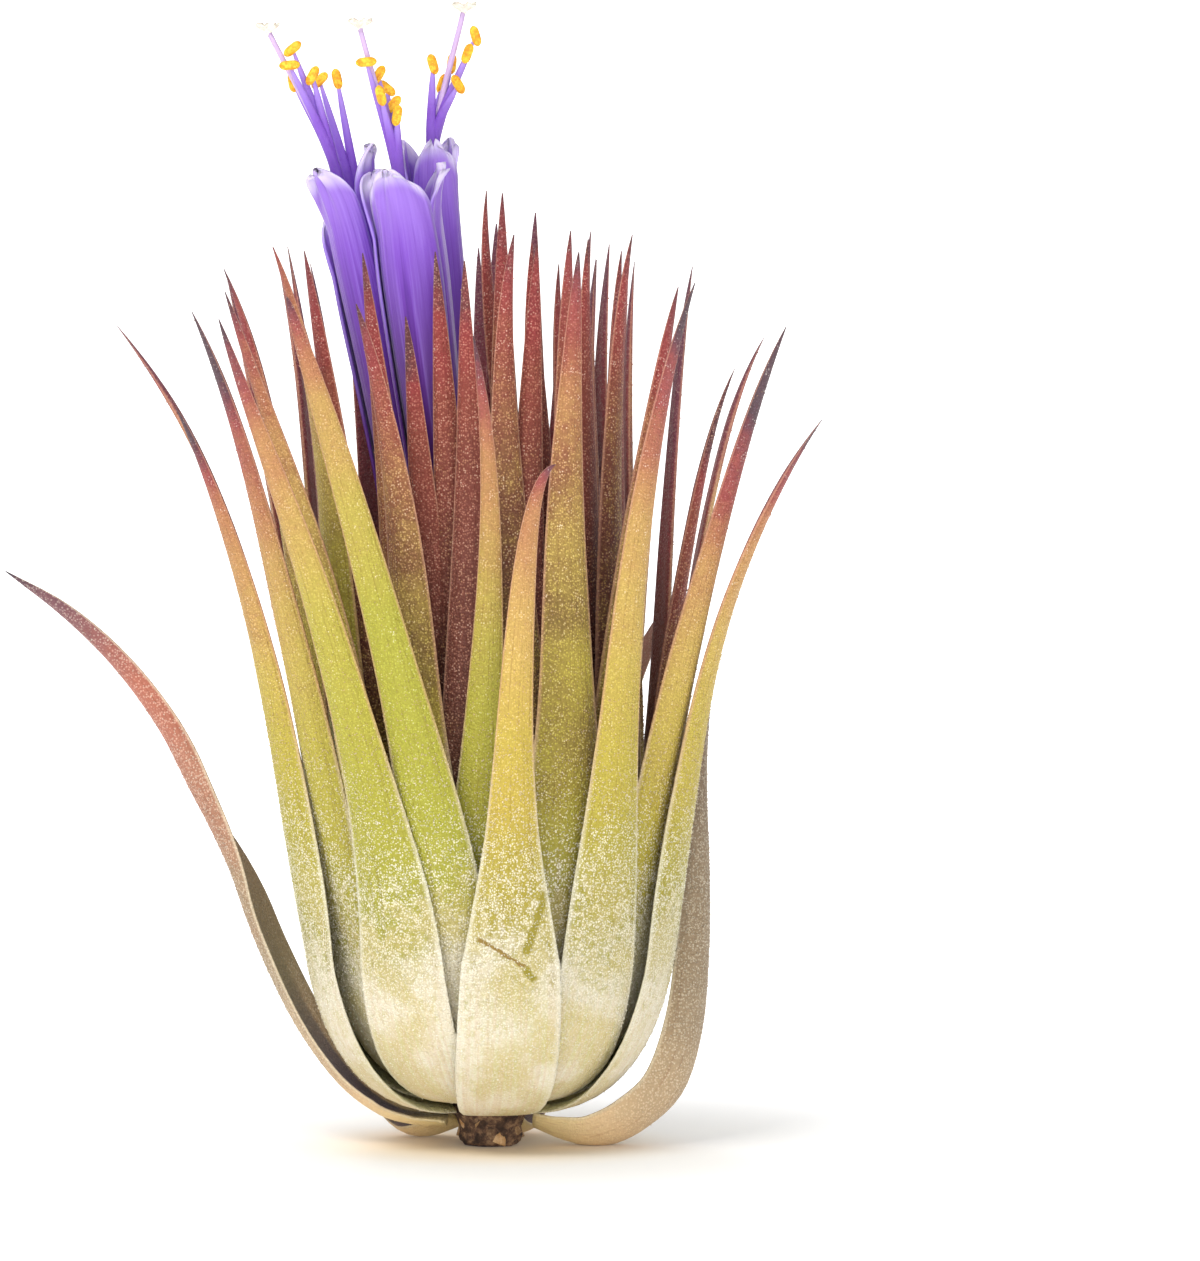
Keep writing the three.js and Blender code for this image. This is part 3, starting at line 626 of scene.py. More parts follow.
SCRATCH_DEPTH = (-13, -12)
SCRATCHES = (  # start and end, each as a distance across and up, half the width, colour
    ((-0.85, 17), (2.85, 14.7), 0.17, (150, 122, 52)),
    ((4.3, 20.5), (2.7, 15.6), 0.42, (156, 142, 42)),
    ((2.6, 14.8), (3.5, 13.6), 0.34, (156, 142, 42)),
)
SUN = (
    (0, (214, 200, 128)), (0.1, (222, 208, 150)), (0.22, (208, 196, 122)), (0.3, (182, 174, 78)),
    (0.42, (190, 176, 62)), (0.56, (212, 188, 78)), (0.68, (220, 186, 98)), (0.78, (212, 166, 100)),
    (0.87, (196, 132, 92)), (0.93, (172, 86, 82)), (0.975, (120, 66, 80)), (1, (96, 72, 84)),
)
SHADE = (
    (0, (205, 200, 150)), (0.2, (170, 164, 98)), (0.3, (148, 134, 64)), (0.4, (136, 104, 56)),
    (0.52, (120, 76, 50)), (0.64, (114, 60, 46)), (0.76, (136, 68, 54)), (0.88, (168, 80, 66)),
    (0.95, (182, 70, 74)), (1, (116, 62, 74)),
)
HOLLOW = (
    (0, (206, 204, 150)), (0.3, (128, 128, 80)), (0.5, (118, 82, 64)), (0.8, (150, 72, 72)),
    (1, (110, 60, 78)),
)


def scratch(leaf, ragged_by, start, end, wide):
    """A scrape on the front leaf. Nothing further back than SCRATCH_DEPTH shows it."""
    length = math.dist(start, end)
    step = ((end[0] - start[0]) / length, (end[1] - start[1]) / length)
    x = leaf.math("SUBTRACT", leaf.x, start[0])
    z = leaf.math("SUBTRACT", leaf.z, start[1])
    run = leaf.plus(leaf.times(x, step[0]), z, step[1])
    off = leaf.plus(leaf.plus(leaf.times(x, step[1]), z, -step[0]), ragged_by, 0.45)
    body = leaf.times(leaf.ease(run, -0.1, 0.3), leaf.fall(run, length - 0.3, length + 0.1))
    body = leaf.times(body, leaf.fall(leaf.math("ABSOLUTE", off), wide * 0.5, wide))
    return leaf.times(body, leaf.fall(leaf.y, *SCRATCH_DEPTH))


def leaf_finish(name):
    """Leaf colours. SUN is the ramp of a pale leaf and SHADE that of a reddened one, which shows
    as fine dark dots over the other until they run together. Pale specks are more scales."""
    leaf = Finish(name, Roughness=0.6, Sheen_Weight=0.05, Sheen_Roughness=0.4)
    along, across = leaf.read("along"), leaf.read("across")
    slow, fine = leaf.wander(0.16, 3), leaf.wander(1.6, 4)
    grain, distance = leaf.cells(6.0)
    grain = leaf.plus(leaf.plus(0.3, grain, 0.7), fine, 0.9)
    specks = leaf.times(leaf.ease(grain, 0.2, 0.95), leaf.fall(distance, 0.15, 0.62))
    lines = leaf.noise(1.0, 3, at=leaf.stretch(leaf.times(across, 11.0), leaf.times(along, 5.0)))

    # The flush, and the yellow green that shows on leaves that have less of it.
    ripe = leaf.plus(along, leaf.read("ripe"))
    at = leaf.plus(leaf.plus(ripe, slow, 0.16), fine, 0.06)
    flushed = leaf.plus(leaf.plus(leaf.read("blush"), slow, 1.0), fine, 0.4)
    redness = leaf.ease(leaf.plus(flushed, leaf.math("SUBTRACT", specks, 0.3), -0.3), 0.15, 0.9)
    colour = leaf.mix(redness, leaf.ramp(at, *SUN), leaf.ramp(at, *SHADE))
    fresh = leaf.times(leaf.read("green"), leaf.ease(at, 0.22, 0.34), leaf.fall(at, 0.56, 0.86))
    colour = leaf.mix(leaf.times(fresh, 0.85), colour, paint(180, 182, 58))
    veins = leaf.times(leaf.ease(lines, 0.5, 0.75), 0.4)
    colour = leaf.mix(veins, colour, paint(176, 146, 92), "MULTIPLY")

    # The bases: pale frost, yellow-green stains and tan feet.
    low = leaf.fall(leaf.plus(leaf.z, slow, 12.0), 11, 32)
    frost = leaf.plus(leaf.plus(leaf.times(low, 0.9), specks, 0.7), fine, 0.9)
    colour = leaf.mix(leaf.times(leaf.ease(frost, 0.48, 1.1), 0.88), colour, paint(248, 241, 222))
    patches = leaf.ease(leaf.plus(leaf.noise(0.22, 4), fine, 0.35), 0.44, 0.6)
    stain = leaf.times(patches, leaf.fall(leaf.z, 17, 27))
    stain = leaf.times(stain, leaf.plus(0.66, specks, -0.5))
    colour = leaf.mix(stain, colour, paint(206, 192, 108))
    tan = leaf.times(leaf.ease(lines, 0.4, 0.6), leaf.fall(leaf.z, 9, 17))
    colour = leaf.mix(leaf.times(tan, 0.3), colour, paint(224, 190, 150))

    # Duller skin between the scales, and the scrapes on the front leaf.
    dull = leaf.times(leaf.ease(leaf.z, 8, 17), leaf.fall(specks, 0.05, 0.5))
    dull = leaf.times(dull, leaf.plus(0.4, redness, 0.35))
    colour = leaf.mix(dull, colour, paint(190, 174, 150), "MULTIPLY")
    colour = leaf.mix(leaf.times(specks, leaf.times(redness, 0.5)), colour, paint(204, 150, 120))
    for start, end, wide, bruise in SCRATCHES:
        colour = leaf.mix(scratch(leaf, fine, start, end, wide), colour, paint(*bruise))

    # Pale margins, the darker channel, and the raised scales.
    edge = leaf.ease(leaf.math("ABSOLUTE", across), 0.84, 0.985)
    rim = leaf.mix(leaf.ease(leaf.z, 20, 36), paint(244, 239, 218), paint(214, 160, 132))
    colour = leaf.mix(leaf.times(edge, 0.5), colour, rim)
    hollow = leaf.mix(leaf.times(specks, 0.4), leaf.ramp(at, *HOLLOW), paint(206, 176, 160))
    colour = leaf.mix(leaf.read("channel"), colour, hollow)
    silver = leaf.mix(leaf.ease(leaf.z, 22, 36), paint(250, 247, 232), paint(214, 176, 140))
    coat = leaf.times(leaf.read("coat"), leaf.plus(0.9, leaf.ease(leaf.z, 24, 40), -0.45))
    leaf.put("Base Color", leaf.mix(coat, colour, silver))
    relief = leaf.plus(leaf.plus(distance, fine, 1.6), lines, 0.8)
    leaf.put("Normal", leaf.bump(relief, 0.13, 0.8))
    return leaf


ROWS = (
    (  # azimuth, width, tip, via, (blush, green, ripe), what is its own
        (7, 7.9, (5, -17.4, 52.3), (2.15, -15.8, 37), (0, 0, 0), {"fullness": 0.8, "span": 0.95}),
        (73, 7.6, (24.8, -8, 55.1), (16.7, -5.2, 34.7), (0.05, 0.3, 0),
         {"fullness": 1.15, "turned": 0.9}),
        (125, 7.6, (19.4, 16, 52.5), None, (0.1, 0.4, 0)),
        (178, 7.6, (-1.5, 23, 57), None, (0.05, 0.3, 0)),
        (-128, 7.6, (-21, 16, 57), None, (0.15, 0.4, 0)),
        (-72, 7.4, (-23.3, -8, 56), (-16.8, -5.6, 35.3), (0.05, 0.5, 0.02)),
    ),
    (
        (-31, 7.7, (-19.8, -17, 63), (-12, -13.4, 39), (0, 0.85, 0)),
        (40, 7.5, (15.3, -14.4, 65.6), (10.6, -12, 40), (0.05, 0.35, 0.06)),
        (101, 7, (20.7, 6.4, 60.6), (15.4, 5, 38), (0.25, 0.4, 0)),
        (152, 7.2, (10, 20, 62), None, (0.3, 0.3, 0)),
        (-155, 7.2, (-10, 20, 63), None, (0.2, 0.3, 0)),
        (-101, 7.2, (-28.2, 4.4, 61.6), (-17.4, 2.9, 38), (0.1, 0.1, 0)),
    ),
    (
        (-14, 6.9, (-14.8, -16, 64.6), (-8.8, -13.9, 44), (0, 1, 0)),
        (62, 6.9, (22.1, -9.4, 62.1), (15.2, -7, 38.5), (0.15, 0.35, 0.1)),
        (113, 6.6, (15.3, 8.6, 65.9), None, (0.6, 0.1, 0.1)),
        (157, 6.6, (8, 17.4, 66), None, (0.45, 0.4, 0)),
        (-157, 6.6, (-7, 17.6, 65), None, (0.4, 0.3, 0)),
        (-111, 6.6, (-20, 9, 65), None, (0.45, 0.2, 0)),
        (-61, 6.9, (-22, -11, 63.3), (-15, -8.2, 39), (0.15, 0.6, 0.08)),
    ),
    (
        (28, 6.4, (6.7, -13.4, 67.8), (6.05, -11.4, 41.4), (0.4, 0.35, 0), {"fullness": 1.5}),
        (84, 6.2, (18.4, -0.8, 58.6), (13.85, -1, 36.8), (0.6, 0, 0.08), {"fullness": 0.85}),
        (134, 6.2, (10.4, 12.6, 64.4), None, (0.6, 0.3, 0)),
        (181, 6.2, (-1, 16, 67), None, (0.55, 0.3, 0)),
        (-133, 6.2, (-14, 13, 66), None, (0.6, 0.2, 0)),
        (-87, 6.2, (-20, 1, 66), (-14.6, 0.2, 40.5), (0.35, 0.5, 0)),
        (-40, 6.2, (-19.5, -12, 64.8), (-12.2, -9.6, 40), (0.3, 0.6, 0)),
    ),
    (
        (-5, 5.8, (-1.1, -13.6, 61.6), (-0.1, -11.9, 38), (0.1, 0.9, 0), {"fullness": 1.1}),
        (48, 5.8, (14.1, -8, 65), (10.6, -7.6, 40), (0.5, 0.3, 0)),
        (104, 5.6, (10.9, 5, 66.4), None, (0.6, 0.1, 0)),
        (156, 5.6, (6, 13, 68), None, (0.5, 0.2, 0)),
        (-156, 5.6, (-7, 13.6, 67), None, (0.6, 0.1, 0)),
        (-109, 5.6, (-16, 6, 66), None, (0.45, 0.2, 0)),
        (-62, 5.6, (-16.1, -7.4, 68), (-11.6, -6.2, 41.5), (0.3, 0.8, -0.05)),
    ),
    (
        (-28, 5.2, (-9.8, -11.8, 63.9), (-6, -9.8, 39.5), (0.5, 0.3, 0)),
        (18, 5.2, (1.9, -11, 69), (1.9, -9.8, 42), (0.6, 0.1, 0)),
        (64, 5.2, (10.7, -5.8, 68.8), (9.7, -4.8, 42), (0.7, 0, 0), {"turned": 0.85}),
        (124, 5.2, (9, 7.6, 67.6), None, (0.8, 0, 0)),
        (176, 5.2, (0.4, 12, 69), None, (0.7, 0, 0)),
        (-134, 5.2, (-11, 9.6, 68), None, (0.8, 0, 0)),
        (-86, 5.2, (-15.2, 0.4, 67.7), None, (0.7, 0, 0), {"turned": 1}),
    ),
)
ROW_KINDS = (  # fullness of the blades, scales on a leaf, finish
    (0.95, 2900, "outer_leaf"),
    (0.95, 2700, "outer_leaf"),
    (1.04, 2300, "middle_leaf"),
    (1.2, 1900, "middle_leaf"),
    (1.5, 1600, "inner_leaf"),
    (1.75, 1400, "inner_leaf"),
)
leaf_finishes = {slot: leaf_finish(slot) for slot in ("outer_leaf", "middle_leaf", "inner_leaf")}
for i, (row, (fullness, scales, slot)) in enumerate(zip(ROWS, ROW_KINDS)):
    for j, (azimuth, width, tip, via, (blush, green, ripe), *own) in enumerate(row):
        seed = 100 * (i + 1) + j
        shape = {"fullness": fullness, "seed": seed}
        for extra in own:
            shape.update(extra)
        rings, along = rosette_leaf(azimuth, i * LAYER, width, tip, via, **shape)
        leaf = leaf_object(f"living_leaf_row{i + 1}_{j + 1}", rings, along, scales, seed,
                           blush=blush, green=green, ripe=ripe)
        finish_piece(leaf, leaf_finishes[slot], f"leaf_row{i + 1}_{j + 1}")


# Heart: the youngest leaves, short in the base and flushed with dark red, still standing tightly
# together on the top of the stem. 20 leaves grown into one small core, which the flower spike
# comes out of.
HEART_DEPTH = 6 * LAYER
HEART_WIDTH = 4.6
HEART_FULLNESS = 1.9
HEART_START = 13
HEART_SCALES = 550
HEART_BLUSH = (0.95, 0.6, 0.8)
HEART_SEED = 900
HEART_HIDDEN = 0.2  # share of a leaf's length that its base would take up
HEART_ROWS = (  # azimuth, tip, and for two leaves a point half way up
    (
        (-8, (-1.8, -9.4, 67)), (38, (6.1, -8.2, 69.2)), (84, (9.9, -0.8, 67.4)),
        (128, (7.6, 7, 68.6)), (172, (1, 10.4, 66.4)), (-148, (-6.4, 10.4, 66.8)),
        (-106, (-13.6, 5, 66.2)), (-58, (-13.8, -5.4, 67.6)),
    ),
    (
        (-34, (-9.4, -7.6, 67.5)), (14, (3.6, -8.6, 68.2)), (62, (7.4, -4, 68.4)),
        (108, (8, 3.4, 66.7)), (154, (3.4, 7.6, 70)), (-170, (-2.4, 9, 68)),
    ),
    ((-12, (-4, -7.4, 67.6)), (38, (3.2, -5, 68.2)), (88, (5.2, 0, 66.4))),
    (
        (-22, (-6.2, -8, 62.8)), (16, (1, -5.4, 71.9), (1.6, -5, 43)),
        (64, (-0.2, -3, 72), (3.6, -1.8, 43)),
    ),
)
core_outline = [(1.9, 10.7)] + [sheath_point(s, HEART_DEPTH)[:2] for s in (9, 11, 13, 15.5, 18)]
core_outline += [(core_outline[-1][0] - 0.5, 19), (core_outline[-1][0] - 3, 19.8)]
core_rings = [upright_ring(once_round(48), r, z) for r, z in core_outline]
heart = [rolled("heart_core", core_rings, along=HEART_HIDDEN, blush=1)]
for i, row in enumerate(HEART_ROWS):
    for j, (azimuth, tip, *via) in enumerate(row):
        depth = HEART_DEPTH + 0.1 + i * LAYER
        seed = HEART_SEED + 10 * i + j
        rings, along = rosette_leaf(azimuth, depth, HEART_WIDTH, tip, *via, seed=seed,
                                    fullness=HEART_FULLNESS, start=HEART_START, steps=(5, 38))
        along = HEART_HIDDEN + (1 - HEART_HIDDEN) * along
        blush = HEART_BLUSH[(i + j) % 3]
        heart.append(leaf_object(f"heart_leaf_{i}_{j}", rings, along, HEART_SCALES, seed,
                                 blush=blush, green=0))
heart = join("youngest_leaves", heart)
finish_piece(heart, leaf_finishes["inner_leaf"], "heart_leaves")


# Basal leaves: the oldest leaves, below the rosette, drying to tan and curled in along their
# length. Each leaves the stem low, sweeps out over the sheet and turns up to a dark point.
BASAL_SCALES = 1700
BASAL_SEED = 700
BASAL_STEPS = 56
THINNEST_TIP = 0.04
BASAL_WIDTHS = (0.62, 0.8, 0.95, 1, 1, 0.94, 0.84, 0.72, 0.58, 0.44, 0.28, 0.02)
BASAL_CUPS = (0.5, 0.6, 0.7, 0.8, 0.9, 1, 1.1, 1.1, 1.1, 1.1, 1.1, 1.1)
BASAL_THICKS = (0.7, 0.7, 0.7, 0.7, 0.7, 0.7, 0.68, 0.66, 0.62, 0.55, 0.4, 0.05)
BASAL_LEAVES = {  # azimuth, rolls of [share of the length, degrees], width, points
    "left": (-116, ((0, -6), (0.2, 9), (0.35, 8), (0.5, 10), (0.68, 52), (1, 70)), 6.2, (
        (-3.25, 0.3, 1.5), (-5.5, 0.5, 1.45), (-8.3, 1, 2.15), (-11.4, 1.6, 4.5),
        (-14.6, 2, 8.9), (-17.4, 2.2, 14.6), (-19.8, 2.3, 20.8), (-22.4, 2.3, 26.2),
        (-24.8, 2.2, 31.2), (-28.2, 2, 36), (-32.2, 1.8, 40), (-36.5, 1.5, 43.2),
    )),
    "right": (74, ((0, -26), (0.16, -34), (0.32, -30), (0.5, -22), (1, -15)), 5.6, (
        (3.2, -0.8, 1.5), (5.4, -1.3, 0.75), (8, -1.8, 0.45), (11, -1.9, 1.7),
        (13.9, -1.3, 4.4), (15.5, -0.5, 9.2), (16.1, 0.6, 15), (16.2, 1.5, 21),
        (16.1, 2.2, 27), (16.4, 2.8, 32.6), (17.3, 3.2, 37.6), (18.5, 3.4, 42.4),
    )),
    "back_right": (162, ((0, 0), (1, 0)), 5.4, (
        (0.7, 3.2, 1.5), (1, 5.3, 0.45), (1.5, 7.5, 0), (2.3, 10.4, 1.4),
        (3.4, 12.9, 4.8), (4.6, 14.4, 9.6), (5.8, 15.7, 15), (7, 16.8, 20.6),
        (8.5, 18, 26), (10.1, 19.5, 31.4), (12.2, 21.3, 36.4), (14.6, 23, 41),
    )),
    "back_left": (-142, ((0, 0), (1, 0)), 5.6, (
        (-2, 2.7, 1.5), (-3.6, 4.3, 0.5), (-5.4, 5.9, 0), (-7.1, 8.2, 1.4),
        (-8.2, 10.4, 4.8), (-9.3, 11.9, 9.6), (-10.2, 13.1, 15), (-11.1, 14.2, 20.6),
        (-12.2, 15.7, 26), (-13.6, 17.5, 31.4), (-15.2, 19.6, 36.4), (-17, 22, 41),
    )),
}


def along_points(points, k, near):
    """The place and the direction at k on a smooth line through points, the first of which lies at
    0, the second at 1 and so on. The direction is taken between two places near it."""
    knots = np.arange(len(points))
    lines = [list(zip(knots, axis)) for axis in np.array(points, float).T]
    at, ahead, behind = (
        np.array([read(line, place) for line in lines])
        for place in (k, min(k + near, knots[-1]), max(k - near, 0))
    )
    return at, unit(ahead - behind)


def basal_leaf(azimuth, rolls, width, points):
    """The rings of one old leaf, and how far along the leaf each lies. No point of it goes below
    the sheet."""
    side = sideways(math.radians(azimuth))
    rings, along = [], np.linspace(0, 1, BASAL_STEPS)
    for share in along:
        k = share * (len(points) - 1)
        at, run = along_points(points, k, 0.02)
        across = unit(side - run * side.dot(run))
        roll = math.radians(np.interp(share, *zip(*rolls)))
        across, out = rolled_over(across, np.cross(across, run), roll)
        wide, cup, thick = (
            read(list(enumerate(table)), k) for table in (BASAL_WIDTHS, BASAL_CUPS, BASAL_THICKS)
        )
        half = max(wide * width / 2, THINNEST_TIP)
        rings.append(leaf_ring(at, across, out, -out, half, cup, thick))
    return np.maximum(rings, (-math.inf, -math.inf, 0)), along


old = Finish("basal_leaf", Roughness=0.7, Sheen_Weight=0.08, Sheen_Roughness=0.5)
along, across = old.read("along"), old.read("across")
slow, fine = old.wander(0.2, 3), old.wander(2.2, 4, roughness=0.65)
at = old.plus(old.plus(along, slow, 0.16), fine, 0.05)
colour = old.ramp(at, (0, (244, 224, 160)), (0.14, (248, 224, 172)), (0.24, (246, 214, 168)),
                  (0.34, (220, 194, 156)), (0.48, (180, 160, 130)), (0.7, (150, 132, 106)),
                  (0.93, (120, 98, 90)), (1, (66, 60, 70)))
flush = old.ramp(at, (0.46, (186, 160, 122)), (0.6, (190, 140, 112)), (0.78, (198, 120, 98)),
                 (0.93, (134, 90, 100)), (1, (66, 60, 76)))
colour = old.mix(old.times(old.read("blush"), old.ease(at, 0.4, 0.56)), colour, flush)
lines = old.noise(1.0, 4, at=old.stretch(old.times(across, 9.0), old.times(along, 9.0)))
veins = old.times(old.ease(lines, 0.5, 0.75), 0.4)
colour = old.mix(veins, colour, paint(190, 146, 104), "MULTIPLY")
grain, distance = old.cells(5.6)
dots = old.times(old.ease(grain, 0.1, 0.7), old.fall(distance, 0.12, 0.6))
worn = old.ease(along, 0.12, 0.34)
dull = old.times(worn, old.fall(dots, 0.05, 0.4), 0.4)
colour = old.mix(dull, colour, paint(180, 160, 140), "MULTIPLY")
colour = old.mix(old.times(dots, worn, 0.35), colour, paint(240, 228, 206))
edge = old.ease(old.math("ABSOLUTE", across), 0.88, 0.985)
colour = old.mix(old.times(edge, 0.5), colour, paint(238, 226, 196))
hollow = old.ramp(along, (0.06, (222, 206, 156)), (0.16, (124, 106, 118)), (0.28, (118, 102, 112)),
                  (0.42, (134, 122, 94)), (0.8, (150, 110, 100)))
hollow = old.mix(old.times(dots, 0.4), hollow, paint(184, 168, 150))
# On the left leaf, the only one with a blush, one margin of the channel keeps the cream colour of
# the outer face along the lower half, as if it were lapped over.
lapped = old.times(old.read("blush"), old.fall(across, -0.55, -0.35), old.fall(along, 0.3, 0.5))
colour = old.mix(old.times(old.read("channel"), old.rest(lapped)), colour, hollow)
colour = old.mix(old.times(old.read("coat"), 0.6), colour, paint(238, 230, 212))
old.put("Base Color", colour)
old.put("Normal", old.bump(old.plus(old.plus(distance, fine, 1.6), lines, 0.9), 0.11, 0.8))
for i, (where, shape) in enumerate(BASAL_LEAVES.items()):
    rings, along = basal_leaf(*shape)
    leaf = leaf_object(f"old_leaf_{where}", rings, along, BASAL_SCALES, BASAL_SEED + i,
                       blush=float(where == "left"))
    finish_piece(leaf, old, f"leaf_basal_{where}")


# Flower spike: a short fleshy stalk between the leaves, pale green and flushed with pink, that
# carries the three flowers. It stands on the heart.
SPIKE_RINGS = (  # x, y, height, radius
    (0, 0, 20.1, 1.5), (-0.15, 0.05, 22, 1.52), (-0.3, 0.1, 24, 1.6), (-0.6, 0.2, 26, 1.85),
    (-0.9, 0.3, 28, 2.2), (-1.2, 0.42, 30, 2.8), (-1.4, 0.5, 31.5, 3.3), (-1.4, 0.5, 32.6, 3.35),
    (-1.4, 0.5, 33, 3.1),
)
SPIKE_RIBS = 5
SPIKE_RIB_SHARE = 0.04
turns = once_round(40)
spike = rolled("flower_stalk", [
    upright_ring(turns, r * (1 + SPIKE_RIB_SHARE * np.cos(SPIKE_RIBS * turns + z)), z, (x, y))
    for x, y, z, r in SPIKE_RINGS
])
stalk = Finish("flower_stalk", Roughness=0.5)
stalk.put("Base Color", stalk.ramp(stalk.noise(0.5, 4), (0.3, (188, 190, 120)),
                                   (0.5, (206, 170, 128)), (0.7, (190, 110, 110))))
stalk.put("Normal", stalk.bump(stalk.noise(2.5, 3), 0.08, 0.7))
finish_piece(spike, stalk, "flower_spike")


# Petals: three to each flower, thin and satiny, rolled round one another into a long tube. They
# are violet blue with pale streaks above and turn out in a white frill on top. Below they are a
# dark, dull violet, partly their own deeper colour and partly painted shade where the tube sits
# among the leaves.
FLOWERS = {  # foot, bow, rim, radius, turn, how long its petals are, number of its pattern
    "front": ((-1.3, -2.2, 33.4), (-4.6, -2.4, 56), (-6.5, -2.1, 73.3), 2.65, 10, (1, 1, 1), 5),
    "left": ((-4.2, 1.5, 33.4), (-7.1, 2.2, 56), (-11.4, 1.5, 74), 2.15, 112, (0.9, 0.99, 1.01), 4),
    "right": ((0.7, 2.5, 33.4), (-3.6, 3.6, 56), (-4.6, 3.9, 75.2), 1.8, 40, (1, 1, 1), 5),
}
PETAL_GIRTH = (
    (0, 0.66), (0.2, 0.73), (0.42, 0.82), (0.64, 0.94), (0.8, 1), (0.9, 0.96), (0.97, 0.9),
    (1.01, 0.86),
)
PETAL_SPANS = (
    (0, 1), (0.64, 1), (0.8, 1), (0.9, 0.92), (0.955, 0.74), (0.985, 0.5), (1, 0.26), (1.006, 0.06),
)
PETAL_SHARES = np.concatenate(
    [np.linspace(0, 0.8, 24), np.linspace(0.82, 0.94, 9), np.linspace(0.95, 1.004, 12)]
)
PETAL_OUT = np.linspace(-1, 1, 19)
PETAL_ROUND = np.concatenate([PETAL_OUT, PETAL_OUT[::-1] * 0.985])
PETAL_INNER = np.concatenate([PETAL_OUT * 0, PETAL_OUT * 0 + 1])
PETAL_THICK = 0.2
PETAL_HALF = math.radians(68)  # a petal reaches this far round to each side of its middle
PETAL_LAP = 0.24
PETAL_RIBS = 0.035
FLARE_FROM = 0.86
FRILL = 0.24
FRILL_RISE = 0.35
LEAST_RADIUS = 1.8
SLIM_FLOWER = 1.9
RIGHT = np.array((1.0, 0, 0))


def flower_axis(foot, bow, rim, t):
    """The place on a flower's axis, the way up it, and two directions across it."""
    foot, bow, rim = (np.array(p, float) for p in (foot, bow, rim))
    inside = min(t, 1)
    at = (1 - inside) ** 2 * foot + 2 * inside * (1 - inside) * bow + inside**2 * rim
    run = (1 - inside) * (bow - foot) + inside * (rim - bow)
    at = at + 2 * run * (t - inside)
    up = unit(run)
    x = unit(RIGHT - up * RIGHT.dot(up))
    return at, up, x, np.cross(up, x)


def petal_rings(flower, i, seed):
    """A third of the tube: one edge lies inside the next petal, the other outside the last, and
    the top flares out and frills. A slim flower flares half as far."""
    foot, bow, rim, radius, turn, lengths, _ = flower
    phase = np.random.default_rng(seed).uniform(*ANY_PHASE, 3)
    middle = math.radians(turn + 120 * i)
    rings = []
    for share in PETAL_SHARES:
        at, up, x, y = flower_axis(foot, bow, rim, share * lengths[i])
        u = PETAL_ROUND * read(PETAL_SPANS, share)
        top = np.clip((share - FLARE_FROM) / (1 - FLARE_FROM), 0, 1)
        flare = 0.75 * top**2 + 0.4 * top * np.abs(PETAL_ROUND) ** 3
        frill = FRILL * top * np.sin(PETAL_ROUND * 11 + phase[0] + 20 * share)
        ribs = PETAL_RIBS * np.sin(PETAL_ROUND * 16 + phase[1]) * min(1, share * 2)
        r = max(LEAST_RADIUS, read(PETAL_GIRTH, share) * radius)
        r = r + u * PETAL_LAP - PETAL_INNER * PETAL_THICK
        r = r + (flare + frill + ribs) * (1 if radius > SLIM_FLOWER else 0.5)
        angle = middle + u * PETAL_HALF
        rise = FRILL_RISE * top * np.sin(PETAL_ROUND * 6 + phase[2])
        rings.append(at + np.outer(r * np.cos(angle), x) + np.outer(r * np.sin(angle), y)
                     + np.outer(rise, up))
    return rings


silk = Finish("petal", Roughness=0.42, Sheen_Weight=0.25, Sheen_Roughness=0.35,
              Subsurface_Weight=0.2, Subsurface_Radius=(0.0008, 0.0005, 0.0012),
              Specular_IOR_Level=0.4)
along, across = silk.read("along"), silk.read("across")
drawn_out = silk.stretch(silk.times(across, 9.0), silk.times(along, 2.2), silk.read("petal"))
streak = silk.noise(1.0, 4, at=drawn_out, roughness=0.6)
at = silk.plus(along, silk.math("SUBTRACT", streak, 0.5), 0.25)
# Dark and dull low on the tube: partly the petals' own colour, partly painted shade among the
# leaves.
colour = silk.ramp(at, (0, (120, 100, 130)), (0.35, (88, 42, 112)), (0.56, (100, 48, 146)),
                   (0.72, (112, 60, 174)), (0.84, (130, 80, 196)), (0.97, (156, 116, 216)))
pale_streaks = silk.times(silk.ease(streak, 0.5, 0.72), 0.3)
colour = silk.mix(pale_streaks, colour, paint(170, 136, 228))
dark_streaks = silk.times(silk.fall(streak, 0.28, 0.46), 0.3)
colour = silk.mix(dark_streaks, colour, paint(120, 78, 176), "MULTIPLY")
from_middle = silk.math("ABSOLUTE", across)
rim_share = silk.ease(silk.plus(along, from_middle, 0.04), 0.975, 1.02)
colour = silk.mix(silk.times(rim_share, 0.8), colour, paint(236, 228, 248))
edge = silk.times(silk.ease(from_middle, 0.93, 0.99), silk.ease(along, 0.5, 0.8))
colour = silk.mix(silk.times(edge, 0.4), colour, paint(190, 170, 238))
silk.put("Base Color", colour)
silk.put("Normal", silk.bump(silk.plus(streak, silk.noise(4.0, 2), 0.3), 0.1, 0.7))
for name, flower in FLOWERS.items():
    for i in range(3):
        pattern = flower[-1]
        rings = petal_rings(flower, i, 300 + i + 10 * pattern)
        petal = rolled(f"rolled_petal_{name}_{i + 1}", rings, along=PETAL_SHARES[:, None],
                       across=PETAL_ROUND, petal=i + 3 * pattern)
        finish_piece(petal, silk, f"petal_{name}_{i + 1}")


